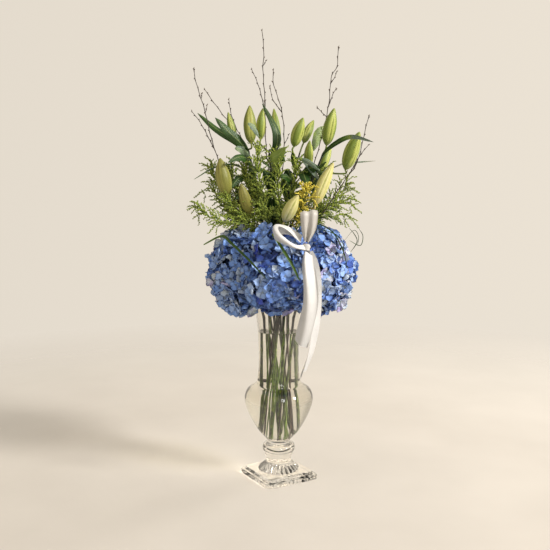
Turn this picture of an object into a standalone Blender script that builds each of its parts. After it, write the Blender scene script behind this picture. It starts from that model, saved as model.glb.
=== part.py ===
"""Hydrangeas, lily buds, goldenrod and birch twigs in a footed glass vase, with a satin bow.

Sizes and places are in millimetres and become metres where a mesh is made. The vase stands on
Z = 0 with its axis on Z, X runs to the right and Y runs away from the front. A plant's own
points give X, Y and the height above the vase's rim, so that the bouquet follows the vase.
"""

import math

import bmesh
import bpy
from mathutils import Matrix, Vector

METRES = 0.001

# Vase, from the table upwards.
FOOT_SIDE = 134.0
FOOT_THICKNESS = 17.0
FOOT_TURN = 30.0  # degrees about Z
FOOT_BEVEL = 3.0
SKIRT_RADIUS = 43.0
SKIRT_HEIGHT = 18.0
COLLAR_RADIUS = 29.5
COLLAR_HEIGHT = 20.0
KNOP_RADIUS = 36.7
KNOP_HEIGHT = 26.0
WAIST_RADIUS = 24.0
BULB_RADIUS = 77.5
BULB_HEIGHT = 136.0
NECK_RADIUS = 45.0
NECK_HEIGHT = 178.0
RIM_RADIUS = 57.0
GLASS_WALL = 3.5
GLASS_FLOOR = 10.0
TURNED_STEPS = 28

# Water, stems and the room that they leave each other.
WATER_BELOW_RIM = 59.0
WATER_GAP = 0.4
TOUCH_GAP = 0.4
STEM_REST = 1.5
WAIST_BELOW_RIM = 145.0  # where the bundled stems pass closest to the axis
SPREAD_ABOVE_RIM = 150.0  # where the stems leave the bundle

# Hydrangeas.
HEAD_COUNT = 5
HEAD_REACH = 86.0
REACH_AS_DRAWN = 86.0  # the reach that the grass and ribbon points below are drawn for
HEAD_LIFT = 79.0  # centre of a head above the rim
HEAD_ACROSS = 88.0
HEAD_GAP = 0.5
HYDRANGEA_STEM = 7.0
WELL_RADIUS_LOW = 33.0
WELL_RADIUS_HIGH = 50.0
WELL_HEIGHT = 240.0

# Lilies, goldenrod, twigs, grass and ribbon.
LILY_STEM = 7.0
PEDICEL = 3.6
GOLDENROD_STEM = 4.2
TWIG_STEM = 3.6
LEAF_THICKNESS = 1.6
LEAF_ROOM = 3.2  # from a stem's side to the middle of a leaf's narrow foot
GRASS_WIDTH = 7.5
GRASS_THICKNESS = 1.4
RIBBON_WIDTH = 37.0
RIBBON_THICKNESS = 1.0

RIM_Z = FOOT_THICKNESS + SKIRT_HEIGHT + COLLAR_HEIGHT + KNOP_HEIGHT + BULB_HEIGHT + NECK_HEIGHT
WAIST_Z = RIM_Z - WAIST_BELOW_RIM
SPREAD_Z = RIM_Z + SPREAD_ABOVE_RIM
WATER_Z = RIM_Z - WATER_BELOW_RIM

# Each ring of stems is straight and leans sideways, so that stems pass and never meet. A ring is
# its radius at the waist and the sideways lean per millimetre of height.
LILY_RING = (9.5, 0.05)
SLIM_RING = (19.5, 0.10)
HYDRANGEA_RING = (29.5, 0.15)


def material(name, colour, roughness, metallic=0.0, transmission=0.0):
    made = bpy.data.materials.new(name)
    made.use_nodes = True
    shader = made.node_tree.nodes["Principled BSDF"]
    shader.inputs["Base Color"].default_value = (*colour, 1.0)
    shader.inputs["Roughness"].default_value = roughness
    shader.inputs["Metallic"].default_value = metallic
    shader.inputs["Transmission Weight"].default_value = transmission
    return made


for leftover in list(bpy.data.objects):
    bpy.data.objects.remove(leftover)

GLASS = material("clear glass", (0.95, 0.95, 0.93), 0.03, transmission=1.0)
WATER = material("water", (0.95, 0.97, 0.93), 0.02, transmission=1.0)
BLUE_PETAL = material("blue hydrangea", (0.16, 0.27, 0.66), 0.6)
WOODY = material("woody stem", (0.07, 0.06, 0.02), 0.6)
GREEN_STEM = material("green stem", (0.12, 0.22, 0.03), 0.5)
BUD = material("lily bud", (0.45, 0.52, 0.12), 0.45)
CREAM_BUD = material("cream lily bud", (0.72, 0.62, 0.32), 0.45)
LEAF = material("lily leaf", (0.05, 0.12, 0.03), 0.45)
GOLDENROD = material("goldenrod", (0.22, 0.30, 0.03), 0.7)
GOLDENROD_FLOWER = material("goldenrod in flower", (0.75, 0.50, 0.03), 0.7)
BARK = material("birch bark", (0.05, 0.03, 0.02), 0.75)
GRASS = material("grass blade", (0.10, 0.20, 0.03), 0.5)
SATIN = material("ivory satin", (0.83, 0.78, 0.70), 0.35)


def smooth(points, spans=3, before=None, after=None):
    """A Catmull-Rom curve through the points, with `spans` steps between each two."""
    knots = [Vector(point) for point in points]
    ghosts = [before or 2 * knots[0] - knots[1]] + knots + [after or 2 * knots[-1] - knots[-2]]
    curve = [knots[0]]
    for i in range(len(knots) - 1):
        p0, p1, p2, p3 = ghosts[i : i + 4]
        for step in range(1, spans + 1):
            t = step / spans
            bend = (2 * p0 - 5 * p1 + 4 * p2 - p3) * t * t + (3 * p1 - p0 - 3 * p2 + p3) * t**3
            curve.append(p1 + 0.5 * ((p2 - p0) * t + bend))
    return curve


def add_object(name, bm, finish, cutter=False, rounded=True):
    """Closes a bmesh into a named object, in metres; a cutter stays out of the part."""
    bmesh.ops.recalc_face_normals(bm, faces=bm.faces)
    bmesh.ops.transform(bm, matrix=Matrix.Scale(METRES, 4), verts=bm.verts)
    mesh = bpy.data.meshes.new(name)
    bm.to_mesh(mesh)
    bm.free()
    if rounded:
        mesh.shade_smooth()
        mesh.set_sharp_from_angle(angle=math.radians(40))
    made = bpy.data.objects.new(name, mesh)
    bpy.context.scene.collection.objects.link(made)
    made.data.materials.append(finish)
    if cutter:
        made.hide_render = True
        made.display_type = "WIRE"
    return made


def boolean(target, other, operation):
    step = target.modifiers.new(operation.lower(), "BOOLEAN")
    step.operation = operation
    step.object = other


def frames(points, across):
    """The across and outward directions at each point, square to the path."""
    found = []
    side = Vector(across)
    for i, point in enumerate(points):
        ahead = points[min(i + 1, len(points) - 1)] - points[max(i - 1, 0)]
        ahead.normalize()
        side = (side - ahead * side.dot(ahead)).normalized()
        found.append((side.copy(), ahead.cross(side)))
    return found


def loft(bm, sections):
    """Skins a row of sections, each a ring of points, and closes both ends."""
    rings = [[bm.verts.new(point) for point in section] for section in sections]
    count = len(rings[0])
    for low, high in zip(rings, rings[1:]):
        for i in range(count):
            j = (i + 1) % count
            bm.faces.new((low[i], low[j], high[j], high[i]))
    bm.faces.new(rings[0][::-1])
    bm.faces.new(rings[-1])


def tube(bm, points, radii, sides, across=(1.0, 0.0, 0.0)):
    """A round rod along the points, with a radius at each."""
    turns = [2 * math.pi * i / sides for i in range(sides)]
    sections = []
    for point, radius, (side, out) in zip(points, radii, frames(points, across)):
        ring = [point + (side * math.cos(turn) + out * math.sin(turn)) * radius for turn in turns]
        sections.append(ring)
    loft(bm, sections)


def strap(bm, points, across, widths, thickness):
    """A flat strip with square edges."""
    sections = []
    for point, width, (side, out) in zip(points, widths, frames(points, across)):
        w, t = side * width / 2, out * thickness / 2
        sections.append([point - w - t, point + w - t, point + w + t, point - w + t])
    loft(bm, sections)


def blade(bm, points, across, width, thickness):
    """A lance-shaped leaf, thickest along its midrib and narrow at both ends."""
    last = len(points) - 1
    sections = []
    for i, (point, (side, out)) in enumerate(zip(points, frames(points, across))):
        share = i / last
        spread = 0.12 + 0.88 * math.sin(math.pi * min(1.0, 0.08 + 0.92 * share)) ** 0.75
        w = side * width / 2 * spread * (1 if i < last else 0.5)
        t = out * thickness / 2 * (1 if i < last else 0.4)
        sections.append([point - w, point - t, point + w, point + t])
    loft(bm, sections)


def plant(x, y, above_rim):
    return Vector((x, y, RIM_Z + above_rim))


def on_heads(x, y, above_rim):
    """A point on the hydrangeas' outside, which moves out and in with the heads."""
    outward = Vector((x, y, 0.0)).normalized()
    return plant(x, y, above_rim) + outward * (HEAD_REACH - REACH_AS_DRAWN)


def turned(name, outline, finish, cutter=False):
    """Spins an outline of (radius, height) pairs, which starts and ends on the axis, about Z."""
    bm = bmesh.new()
    row = [bm.verts.new((radius, 0.0, height)) for radius, height in outline]
    edges = [bm.edges.new(pair) for pair in zip(row, row[1:])]
    bmesh.ops.spin(
        bm, geom=row + edges, cent=(0, 0, 0), axis=(0, 0, 1), angle=2 * math.pi,
        steps=TURNED_STEPS, use_merge=True,
    )
    bmesh.ops.remove_doubles(bm, verts=bm.verts, dist=0.001)
    return add_object(name, bm, finish, cutter)


# The glass outline, as (radius, height) pairs.


def glass_outside():
    """From the foot's top to the rim: skirt, collar, knop, bulb and neck."""
    height = FOOT_THICKNESS
    outline = []
    for step in range(4):
        turn = math.radians(30 * step)
        radius = COLLAR_RADIUS + (SKIRT_RADIUS - COLLAR_RADIUS) * math.cos(turn)
        outline.append((radius, height + SKIRT_HEIGHT * math.sin(turn)))
    height += SKIRT_HEIGHT + COLLAR_HEIGHT
    for step in range(6):
        turn = math.radians(36 * step)
        radius = COLLAR_RADIUS + (KNOP_RADIUS - COLLAR_RADIUS) * math.sin(turn)
        outline.append((radius, height + KNOP_HEIGHT * (1 - math.cos(turn)) / 2))
    return outline


BULB_SHAPE = ((0.0, 0.02), (0.20, 0.11), (0.44, 0.22), (0.76, 0.44), (0.95, 0.63), (1.0, 0.77),
              (0.90, 0.89), (0.68, 0.96))
NECK_SHAPE = ((0.45, 0.0), (0.16, 0.12), (0.0, 0.27), (0.04, 0.48), (0.20, 0.68), (0.52, 0.87),
              (1.0, 1.0))


def bowl_outside():
    """The hollow part of the outline, from the waist over the bulb and up the neck."""
    bottom = FOOT_THICKNESS + SKIRT_HEIGHT + COLLAR_HEIGHT + KNOP_HEIGHT
    outline = []
    for out, up in BULB_SHAPE:
        outline.append((WAIST_RADIUS + (BULB_RADIUS - WAIST_RADIUS) * out, bottom + BULB_HEIGHT * up))
    for out, up in NECK_SHAPE:
        outline.append((NECK_RADIUS + (RIM_RADIUS - NECK_RADIUS) * out, RIM_Z - NECK_HEIGHT * (1 - up)))
    return outline


def inset(outline, by):
    """The outline moved square to itself towards the axis."""
    moved = []
    for i, (radius, height) in enumerate(outline):
        before, after = outline[max(i - 1, 0)], outline[min(i + 1, len(outline) - 1)]
        along = Vector((after[0] - before[0], after[1] - before[1])).normalized()
        moved.append((radius - by * along.y, height + by * along.x))
    return moved


def cavity(clearance=0.0):
    """The inside of the glass from its floor on the axis to the rim, inset by a clearance."""
    floor_z = RIM_Z - NECK_HEIGHT - BULB_HEIGHT + GLASS_FLOOR + clearance
    wall = [point for point in inset(bowl_outside(), GLASS_WALL + clearance) if point[1] > floor_z + 3]
    wall[-1] = (wall[-1][0], RIM_Z)
    return [(0.0, floor_z)] + [(wall[0][0] * 0.55, floor_z + 0.8)] + wall


def cavity_radius(height):
    room = cavity()
    for (r0, z0), (r1, z1) in zip(room, room[1:]):
        if z0 <= height <= z1:
            return r0 + (r1 - r0) * (height - z0) / (z1 - z0)
    return 0.0


def build_vase():
    outline = [(0.0, FOOT_THICKNESS / 2), (SKIRT_RADIUS, FOOT_THICKNESS / 2)]
    outline += glass_outside() + bowl_outside() + cavity()[::-1]
    vase = turned("vase", outline, GLASS)
    bm = bmesh.new()
    bmesh.ops.create_cube(bm, size=1.0)
    bmesh.ops.scale(bm, vec=(FOOT_SIDE, FOOT_SIDE, FOOT_THICKNESS), verts=bm.verts)
    bmesh.ops.bevel(bm, geom=bm.edges, offset=FOOT_BEVEL, segments=2, affect="EDGES")
    bmesh.ops.rotate(bm, matrix=Matrix.Rotation(math.radians(FOOT_TURN), 3, "Z"), verts=bm.verts)
    bmesh.ops.translate(bm, vec=(0, 0, FOOT_THICKNESS / 2), verts=bm.verts)
    boolean(vase, add_object("vase_foot", bm, GLASS, cutter=True), "UNION")


# Stems in the vase.


def ring_point(ring, azimuth, height):
    """Where a stem of this ring is at a height, if it leaves the bundle at the azimuth."""
    waist, lean = ring
    turn = math.radians(azimuth) - math.atan2(lean * (SPREAD_Z - WAIST_Z), waist)
    slide = lean * (height - WAIST_Z)
    x = waist * math.cos(turn) - slide * math.sin(turn)
    y = waist * math.sin(turn) + slide * math.cos(turn)
    return Vector((x, y, height))


def rest_height(ring, radius):
    """The lowest height at which a stem of this ring still fits inside the glass."""
    height = cavity()[0][1] + STEM_REST
    while True:
        reach = ring_point(ring, 0.0, height)
        if math.hypot(reach.x, reach.y) + radius + STEM_REST < cavity_radius(height):
            return height
        height += 0.5


def stem_path(ring, azimuth, radius, leave_z, upper, spans=3):
    """Straight from the glass floor to leave_z, then curved through the upper points."""
    foot = ring_point(ring, azimuth, rest_height(ring, radius))
    leave = ring_point(ring, azimuth, leave_z)
    back = (foot - leave).normalized() * (upper[0] - leave).length
    return [foot] + smooth([leave] + upper, spans, before=leave + back)


def taper(count, low, high, straight=2):
    """Radii that hold while the stem is straight and then run evenly from low to high."""
    rest = count - straight
    return [low] * straight + [low + (high - low) * (i + 1) / rest for i in range(rest)]


STEM_CLEARANCES = bmesh.new()  # every stem a little fatter, to cut from the water


def stem(name, points, radii, finish, sides=6):
    """A stem object, and its clearance in the water."""
    bm = bmesh.new()
    tube(bm, points, radii, sides)
    fatter = [radius + WATER_GAP for radius in radii[:2]]
    below = points[0] - (points[1] - points[0]).normalized() * WATER_GAP
    tube(STEM_CLEARANCES, [below, points[1]], fatter, sides)
    return add_object(name, bm, finish)


# Hydrangeas: five heads in a ring, each pressed flat against its neighbours.


def head_azimuth(index):
    return 270.0 + 360.0 / HEAD_COUNT * index


# Radial and upright half sizes, extra reach and extra lift of each head, from the front one.
HEAD_SHAPES = (
    (80.0, 97.0, 0.0, 1.0),
    (82.0, 98.0, 3.0, 0.0),
    (76.0, 90.0, -4.0, 0.0),
    (76.0, 90.0, -4.0, 2.0),
    (72.0, 97.0, 0.0, -2.0),
)


def build_head(index, well):
    azimuth = math.radians(head_azimuth(index))
    radial, upright, more_reach, more_lift = HEAD_SHAPES[index]
    outward = Vector((math.cos(azimuth), math.sin(azimuth), 0.0))
    sideways = Vector((-outward.y, outward.x, 0.0))
    centre = outward * (HEAD_REACH + more_reach) + Vector((0, 0, RIM_Z + HEAD_LIFT + more_lift))
    bm = bmesh.new()
    bmesh.ops.create_icosphere(bm, subdivisions=3, radius=1.0)
    for vert in bm.verts:
        x, y, z = vert.co
        lump = 1 + 0.03 * math.sin(5 * x + index) * math.sin(5 * y - index)
        lump += 0.02 * math.sin(6 * z + 2 * index)
        local = outward * radial * x + sideways * HEAD_ACROSS * y + Vector((0, 0, upright * z))
        vert.co = centre + local * lump
    for turn in (-1, 1):
        edge = azimuth + turn * math.pi / HEAD_COUNT
        out = Vector((-math.sin(edge), math.cos(edge), 0.0)) * turn
        everything = bm.verts[:] + bm.edges[:] + bm.faces[:]
        bmesh.ops.bisect_plane(
            bm, geom=everything, dist=0.001, plane_co=-out * HEAD_GAP / 2, plane_no=out, clear_outer=True
        )
        open_edges = [edge for edge in bm.edges if edge.is_boundary]
        bmesh.ops.holes_fill(bm, edges=open_edges, sides=0)
    head = add_object(f"hydrangea_head_{index + 1}", bm, BLUE_PETAL)
    boolean(head, well, "DIFFERENCE")
    path = hydrangea_path(index)
    stem(f"hydrangea_stem_{index + 1}", path, [HYDRANGEA_STEM / 2] * len(path), WOODY, sides=8)
    socket = bmesh.new()
    beyond = path[-1] + (path[-1] - path[-2]).normalized() * TOUCH_GAP
    tube(socket, path[1:] + [beyond], [HYDRANGEA_STEM / 2 + TOUCH_GAP] * len(path), 8)
    boolean(head, add_object(f"socket_{index + 1}", socket, BLUE_PETAL, cutter=True), "DIFFERENCE")


def hydrangea_path(index):
    """Up the vase in the outer ring, over the rim's inside and outwards into the head."""
    radius = HYDRANGEA_STEM / 2
    azimuth = head_azimuth(index)
    leave_z = RIM_Z - 28
    swing = math.degrees(math.atan2(HYDRANGEA_RING[1] * (SPREAD_Z - WAIST_Z), HYDRANGEA_RING[0]))
    swing -= math.degrees(math.atan2(HYDRANGEA_RING[1] * (leave_z - WAIST_Z), HYDRANGEA_RING[0]))
    out = Vector((math.cos(math.radians(azimuth)), math.sin(math.radians(azimuth)), 0))
    upper = [out * (RIM_RADIUS - 13) + Vector((0, 0, RIM_Z + 4)), out * 56 + Vector((0, 0, RIM_Z + 32)),
             out * 66 + Vector((0, 0, RIM_Z + 62))]
    return stem_path(HYDRANGEA_RING, azimuth + swing, radius, leave_z, upper, spans=2)


def build_well():
    """The room that all heads leave for the neck of the vase and for the bundled stems."""
    collar = RIM_RADIUS + 2.0
    outline = [(0.0, RIM_Z - 90), (collar, RIM_Z - 90), (collar, RIM_Z + 1.5), (WELL_RADIUS_LOW, RIM_Z + 1.5),
               (WELL_RADIUS_HIGH, RIM_Z + WELL_HEIGHT), (0.0, RIM_Z + WELL_HEIGHT)]
    return turned("stem_well", outline, GLASS, cutter=True)


# Lilies: four stems, each with its buds and leaves. A stem is its azimuth where it leaves the
# bundle and its upper points. A bud is the share of the upper stem at which its stalk starts,
# its base, its tip and its width. A leaf is a share, its points, its width and its flat side.

LILIES = {
    1: (180, [(-40, 0, 245), (-68, -4, 345)]),
    2: (95, [(-12, 22, 255), (-22, 16, 345)]),
    3: (275, [(20, -15, 245), (46, 6, 338)]),
    4: (5, [(56, 4, 235), (98, 4, 338)]),
}
BUDS = (
    (1, 0.97, (-96, 30, 364), (-113, 30, 430), 17, BUD),
    (1, 1.0, (-60, -20, 357), (-63, -20, 439), 27, BUD),
    (2, 0.97, (-40, 0, 367), (-35, 0, 435), 21, BUD),
    (2, 1.0, (1, 50, 366), (-11, 60, 441), 18, BUD),
    (3, 0.90, (32, -30, 350), (52, -40, 411), 26, BUD),
    (3, 1.0, (56, 50, 363), (80, 70, 416), 20, BUD),
    (4, 1.0, (104, -10, 354), (120, -20, 433), 28, BUD),
    (4, 0.80, (145, -20, 301), (173, -40, 381), 32, BUD),
    (1, 0.40, (-110, -40, 242), (-126, -50, 325), 33, BUD),
    (1, 0.22, (-61, -34, 204), (-81, -62, 270), 26, BUD),
    (3, 0.12, (11, -76, 190), (40, -106, 246), 27, CREAM_BUD),
    (4, 0.45, (78, -50, 225), (115, -70, 314), 26, CREAM_BUD),
    (4, 0.62, (96, 50, 298), (120, 70, 360), 20, BUD),
    (3, 0.75, (66, -4, 303), (67, -22, 364), 20, BUD),
)
LEAVES = (
    (1, 0.92, [(-92, 0, 360), (-141, 10, 393), (-180, 20, 427)], 14, (0, 0.6, 0.8)),
    (1, 0.88, [(-80, -16, 355), (-106, -30, 379), (-136, -42, 411)], 18, (0, 0.6, 0.8)),
    (1, 0.70, [(-94, -12, 312), (-137, -32, 307), (-183, -45, 280)], 9, (0, 1, 0)),
    (1, 0.62, [(-62, -24, 316), (-83, -50, 327), (-108, -70, 315)], 20, (0.4, 0.9, 0)),
    (2, 0.90, [(-6, -8, 352), (-6, -10, 387), (-36, 0, 445)], 20, (1, 0, 0)),
    (3, 0.55, [(-12, -52, 317), (0, -66, 332), (14, -80, 346)], 15, (0.8, 0.5, 0)),
    (4, 0.96, [(112, -28, 350), (151, -64, 369), (198, -78, 357)], 12, (0, 0.9, 0.4)),
    (4, 0.75, [(140, 6, 314), (176, 8, 318), (216, 20, 322)], 8, (0, 0.9, 0.4)),
    (3, 0.70, [(52, -26, 318), (68, -46, 302), (87, -62, 276)], 18, (0.6, 0.8, 0)),
)


def along(points, share):
    """The point at a share of a path's steps, counted after the straight stretch."""
    upper = points[1:]
    place = share * (len(upper) - 1)
    low = min(int(place), len(upper) - 2)
    return upper[low].lerp(upper[low + 1], place - low)


def lily_path(index):
    azimuth, upper = LILIES[index]
    return stem_path(LILY_RING, azimuth, LILY_STEM / 2, SPREAD_Z, [plant(*point) for point in upper])


def off_stem(path, share, towards, room):
    """A start just clear of a stem's side, towards a point."""
    start = along(path, share)
    axis = (path[-1] - path[-3]).normalized()
    out = towards - start
    if share < 1.0:
        out -= axis * out.dot(axis)
    return start + out.normalized() * (LILY_STEM / 2 + room + TOUCH_GAP)


def build_lily_stem(index):
    path = lily_path(index)
    stem(f"lily_stem_{index}", path, taper(len(path), LILY_STEM / 2, LILY_STEM * 0.36), GREEN_STEM)


def build_bud(number, owner, share, base, tip, width, finish):
    """A slim stalk that swells into a closed, pointed bud."""
    base, tip = plant(*base), plant(*tip)
    start = off_stem(lily_path(owner), share, base, PEDICEL / 2)
    axis = (tip - base).normalized()
    reach = (base - start).length * 0.45
    stalk = smooth([start, base - axis * min(reach, 9.0), base], 2)
    length = (tip - base).length
    body = [base + axis * length * share for share in (0.07, 0.22, 0.45, 0.68, 0.87, 1.0)]
    radii = [PEDICEL / 2] * len(stalk) + [width / 2 * r for r in (0.55, 0.86, 1.0, 0.84, 0.46, 0.1)]
    bm = bmesh.new()
    tube(bm, stalk + body, radii, 6)
    add_object(f"lily_bud_{number}", bm, finish)


def build_leaf(number, owner, share, points, width, across):
    points = [plant(*point) for point in points]
    start = off_stem(lily_path(owner), share, points[0], LEAF_ROOM)
    bm = bmesh.new()
    blade(bm, smooth([start] + points, 2), across, width, LEAF_THICKNESS)
    add_object(f"lily_leaf_{number}", bm, LEAF)


# Goldenrod: the azimuth where each leaves the bundle, its upper points and its plume's width.

GOLDENROD_SPRAYS = (
    (150, [(-70, 20, 190), (-120, 30, 245), (-160, 25, 312)], 26, GOLDENROD),
    (212, [(-72, -58, 184), (-130, -78, 192), (-180, -70, 222)], 24, GOLDENROD),
    (243, [(-30, -48, 215), (-44, -50, 290), (-46, -46, 362)], 24, GOLDENROD),
    (297, [(2, -50, 215), (-2, -56, 280), (6, -54, 340)], 22, GOLDENROD),
    (330, [(44, -46, 205), (54, -62, 240), (60, -68, 276)], 34, GOLDENROD_FLOWER),
    (30, [(75, 26, 190), (122, 26, 236), (163, 12, 275)], 26, GOLDENROD),
)
PLUME_SHARES = (0.0, 0.05, 0.15, 0.45, 0.8, 1.0, 0.95, 0.8, 0.55, 0.12)


def build_goldenrod(number, azimuth, upper, width, finish):
    """A thin stem whose upper half carries a soft plume."""
    points = [plant(*point) for point in upper]
    path = stem_path(SLIM_RING, azimuth, GOLDENROD_STEM / 2, SPREAD_Z, points)
    thin = GOLDENROD_STEM / 2
    radii = [thin] + [thin + (width / 2 - thin) * share for share in PLUME_SHARES]
    radii[-1] = thin / 2
    stem(f"goldenrod_{number}", path, radii, finish)


# Birch twigs: azimuth, upper points, and the side shoots as lists of points from the main twig.

TWIGS = (
    (181, [(-80, -4, 205), (-118, -8, 271), (-134, -10, 326), (-147, -15, 369), (-160, -20, 427),
           (-177, -20, 482), (-184, -20, 517)],
     [[(-138, -12, 340), (-166, -28, 396), (-186, -40, 425)]]),
    (120, [(-48, 44, 240), (-68, 56, 310), (-87, 58, 380), (-124, 60, 424), (-168, 55, 483)],
     [[(-95, 58, 391), (-108, 56, 430), (-112, 50, 461)]]),
    (90, [(-14, 40, 245), (-28, 34, 345), (-31, 24, 457), (-35, 20, 520), (-33, 20, 563), (-38, 20, 606)],
     [[(-31, 24, 425), (-44, 27, 484), (-60, 30, 524)]]),
    (270, [(2, -26, 230), (9, -18, 310), (11, -15, 385), (4, -20, 436), (-11, -20, 482), (-13, -20, 515)],
     [[(6, -17, 425), (-14, -4, 455), (-19, 0, 483)]]),
    (62, [(54, 34, 245), (88, 26, 346), (110, 28, 441), (116, 30, 504), (129, 30, 531), (131, 30, 572)],
     [[(110, 29, 445), (121, 38, 470), (129, 50, 485)], [(105, 27, 420), (94, 12, 428), (84, 0, 438)]]),
    (0, [(58, -14, 186), (92, -36, 205), (116, -40, 240), (145, -44, 283), (167, -52, 316), (183, -54, 383),
         (191, -50, 415)],
     [[(150, -46, 290), (172, -60, 330), (190, -66, 352)]]),
)


def build_twig(number, azimuth, upper, shoots):
    """A tapering twig with its side shoots joined on."""
    points = [plant(*point) for point in upper]
    path = stem_path(SLIM_RING, azimuth, TWIG_STEM / 2, SPREAD_Z, points, spans=2)
    twig = stem(f"birch_twig_{number}", path, taper(len(path), TWIG_STEM / 2, 0.8), BARK)
    for i, shoot in enumerate(shoots):
        curve = smooth([plant(*point) for point in shoot], 2)
        start = min(path[2:], key=lambda point: (point - curve[0]).length)
        curve[0] = start
        bm = bmesh.new()
        tube(bm, curve, [1.1 - 0.1 * j for j in range(len(curve))], 5)
        boolean(twig, add_object(f"birch_shoot_{number}_{i + 1}", bm, BARK, cutter=True), "UNION")


# Grass blades, tucked between the heads: points, and the direction across the blade.

GRASS_BLADES = (
    ([(-158, -104, 143), (-118, -128, 162), (-96, -160, 150), (-60, -182, 118), (-23, -190, 78)],
     (0.2, 0.5, 0.8)),
    ([(-14, -138, 168), (6, -168, 140), (26, -182, 108), (42, -180, 74)], (0.8, 0.3, 0.5)),
    ([(54, -70, 186), (84, -98, 186), (112, -128, 168), (132, -138, 130), (140, -140, 96)],
     (0.3, 0.9, 0.3)),
    ([(150, -74, 150), (172, -84, 140), (178, -82, 160), (170, -72, 176)], (0.2, 0.9, 0.2)),
)


def build_grass(number, points, across):
    bm = bmesh.new()
    blade(bm, smooth([on_heads(*point) for point in points], 2), across, GRASS_WIDTH, GRASS_THICKNESS)
    add_object(f"grass_blade_{number}", bm, GRASS)


# Ribbon: a knot in the notch between two heads, two loops above it and two tails below.

KNOT = (55, -142, 140)
RIBBON_PIECES = {
    "ribbon_loop_upper": ([(56, -146, 152), (60, -154, 178), (61, -157, 207), (59, -147, 213),
                           (56, -137, 182), (54, -138, 154)], (1, 0, 0), (0.3, 0.8, 0.9, 0.9, 0.7, 0.3)),
    "ribbon_loop_left": ([(45, -150, 144), (22, -165, 147), (-1, -174, 162), (-5, -164, 174), (18, -151, 169),
                          (42, -141, 152)], (0.3, 0.65, -0.7), (0.3, 0.5, 0.6, 0.6, 0.45, 0.3)),
    "ribbon_tail_front": ([(57, -152, 128), (57, -164, 112), (60, -176, 90), (63, -182, 58), (62, -181, 26),
                           (54, -174, -14), (44, -160, -58)], (0.92, -0.3, 0.0),
                         (0.4, 0.6, 0.7, 0.78, 0.82, 0.85, 0.7)),
    "ribbon_tail_back": ([(66, -141, 134), (71, -147, 114), (74, -151, 84), (75, -153, 56), (76, -152, 10),
                          (74, -149, -34), (66, -144, -80), (51, -136, -128)], (0.45, 0.88, 0.1),
                         (0.3, 0.55, 0.75, 0.8, 0.8, 0.8, 0.75, 0.6)),
}


def build_knot():
    bm = bmesh.new()
    centre = on_heads(*KNOT)
    bmesh.ops.create_icosphere(bm, subdivisions=2, radius=1.0)
    for vert in bm.verts:
        vert.co = centre + Vector((vert.co.x * 9.0, vert.co.y * 7.0, vert.co.z * 10.0))
    add_object("ribbon_knot", bm, SATIN)


def build_ribbon(name, points, across, shares):
    """A strip whose width is gathered at the knot and open further out."""
    path = smooth([on_heads(*point) for point in points], 2)
    widths = []
    for i in range(len(path)):
        low = min(i // 2, len(shares) - 2)
        widths.append(RIBBON_WIDTH * (shares[low] + (shares[low + 1] - shares[low]) * (i / 2 - low)))
    bm = bmesh.new()
    strap(bm, path, across, widths, RIBBON_THICKNESS)
    add_object(name, bm, SATIN, rounded=False)


def build_water():
    """Fills the bowl up to its level and leaves room for each stem."""
    room = [point for point in cavity(WATER_GAP) if point[1] < WATER_Z - 2]
    outline = room + [(cavity_radius(WATER_Z) - WATER_GAP, WATER_Z), (0.0, WATER_Z)]
    water = turned("water", outline, WATER)
    stems = add_object("stem_clearances", STEM_CLEARANCES, WATER, cutter=True)
    boolean(water, stems, "DIFFERENCE")


build_vase()
stem_well = build_well()
for index in range(HEAD_COUNT):
    build_head(index, stem_well)
for index in LILIES:
    build_lily_stem(index)
for number, bud in enumerate(BUDS, 1):
    build_bud(number, *bud)
for number, leaf in enumerate(LEAVES, 1):
    build_leaf(number, *leaf)
for number, spray in enumerate(GOLDENROD_SPRAYS, 1):
    build_goldenrod(number, *spray)
for number, twig in enumerate(TWIGS, 1):
    build_twig(number, *twig)
for number, grass in enumerate(GRASS_BLADES, 1):
    build_grass(number, *grass)
build_knot()
for ribbon_name, ribbon in RIBBON_PIECES.items():
    build_ribbon(ribbon_name, *ribbon)
build_water()
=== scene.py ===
# %% [markdown]
# # Hydrangeas in a footed glass vase
#
# A florist built the real thing from the glass up: bare stems cross in the water, five blue
# hydrangea heads sit on the rim like a collar, and lilies in bud, goldenrod and birch twigs
# stand up through the middle. A satin bow hangs at the front. This lesson dresses the packed
# model in the same order, one kind of piece to a step. Every length is in millimetres until a
# mesh is made, and a plant's height is counted from the vase's rim, as in the model's source.

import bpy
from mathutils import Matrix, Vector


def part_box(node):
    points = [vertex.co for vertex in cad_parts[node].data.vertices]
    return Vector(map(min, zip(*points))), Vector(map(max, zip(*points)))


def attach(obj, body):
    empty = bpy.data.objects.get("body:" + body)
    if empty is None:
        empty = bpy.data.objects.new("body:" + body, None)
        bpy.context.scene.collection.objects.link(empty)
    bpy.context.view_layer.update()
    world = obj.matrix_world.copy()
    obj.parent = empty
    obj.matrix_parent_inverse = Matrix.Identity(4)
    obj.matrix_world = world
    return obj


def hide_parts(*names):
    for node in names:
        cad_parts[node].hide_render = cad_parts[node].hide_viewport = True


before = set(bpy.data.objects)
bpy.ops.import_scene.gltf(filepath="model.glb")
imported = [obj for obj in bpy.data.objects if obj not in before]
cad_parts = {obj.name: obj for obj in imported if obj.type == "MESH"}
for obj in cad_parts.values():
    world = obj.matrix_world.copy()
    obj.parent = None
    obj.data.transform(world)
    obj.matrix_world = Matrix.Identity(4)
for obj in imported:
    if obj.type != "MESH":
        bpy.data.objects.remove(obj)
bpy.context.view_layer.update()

import math

import bmesh
import bpy
import numpy as np
from mathutils import Vector
from mathutils.bvhtree import BVHTree

MM = 0.001
RIM_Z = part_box("vase")[1].z / MM
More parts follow.
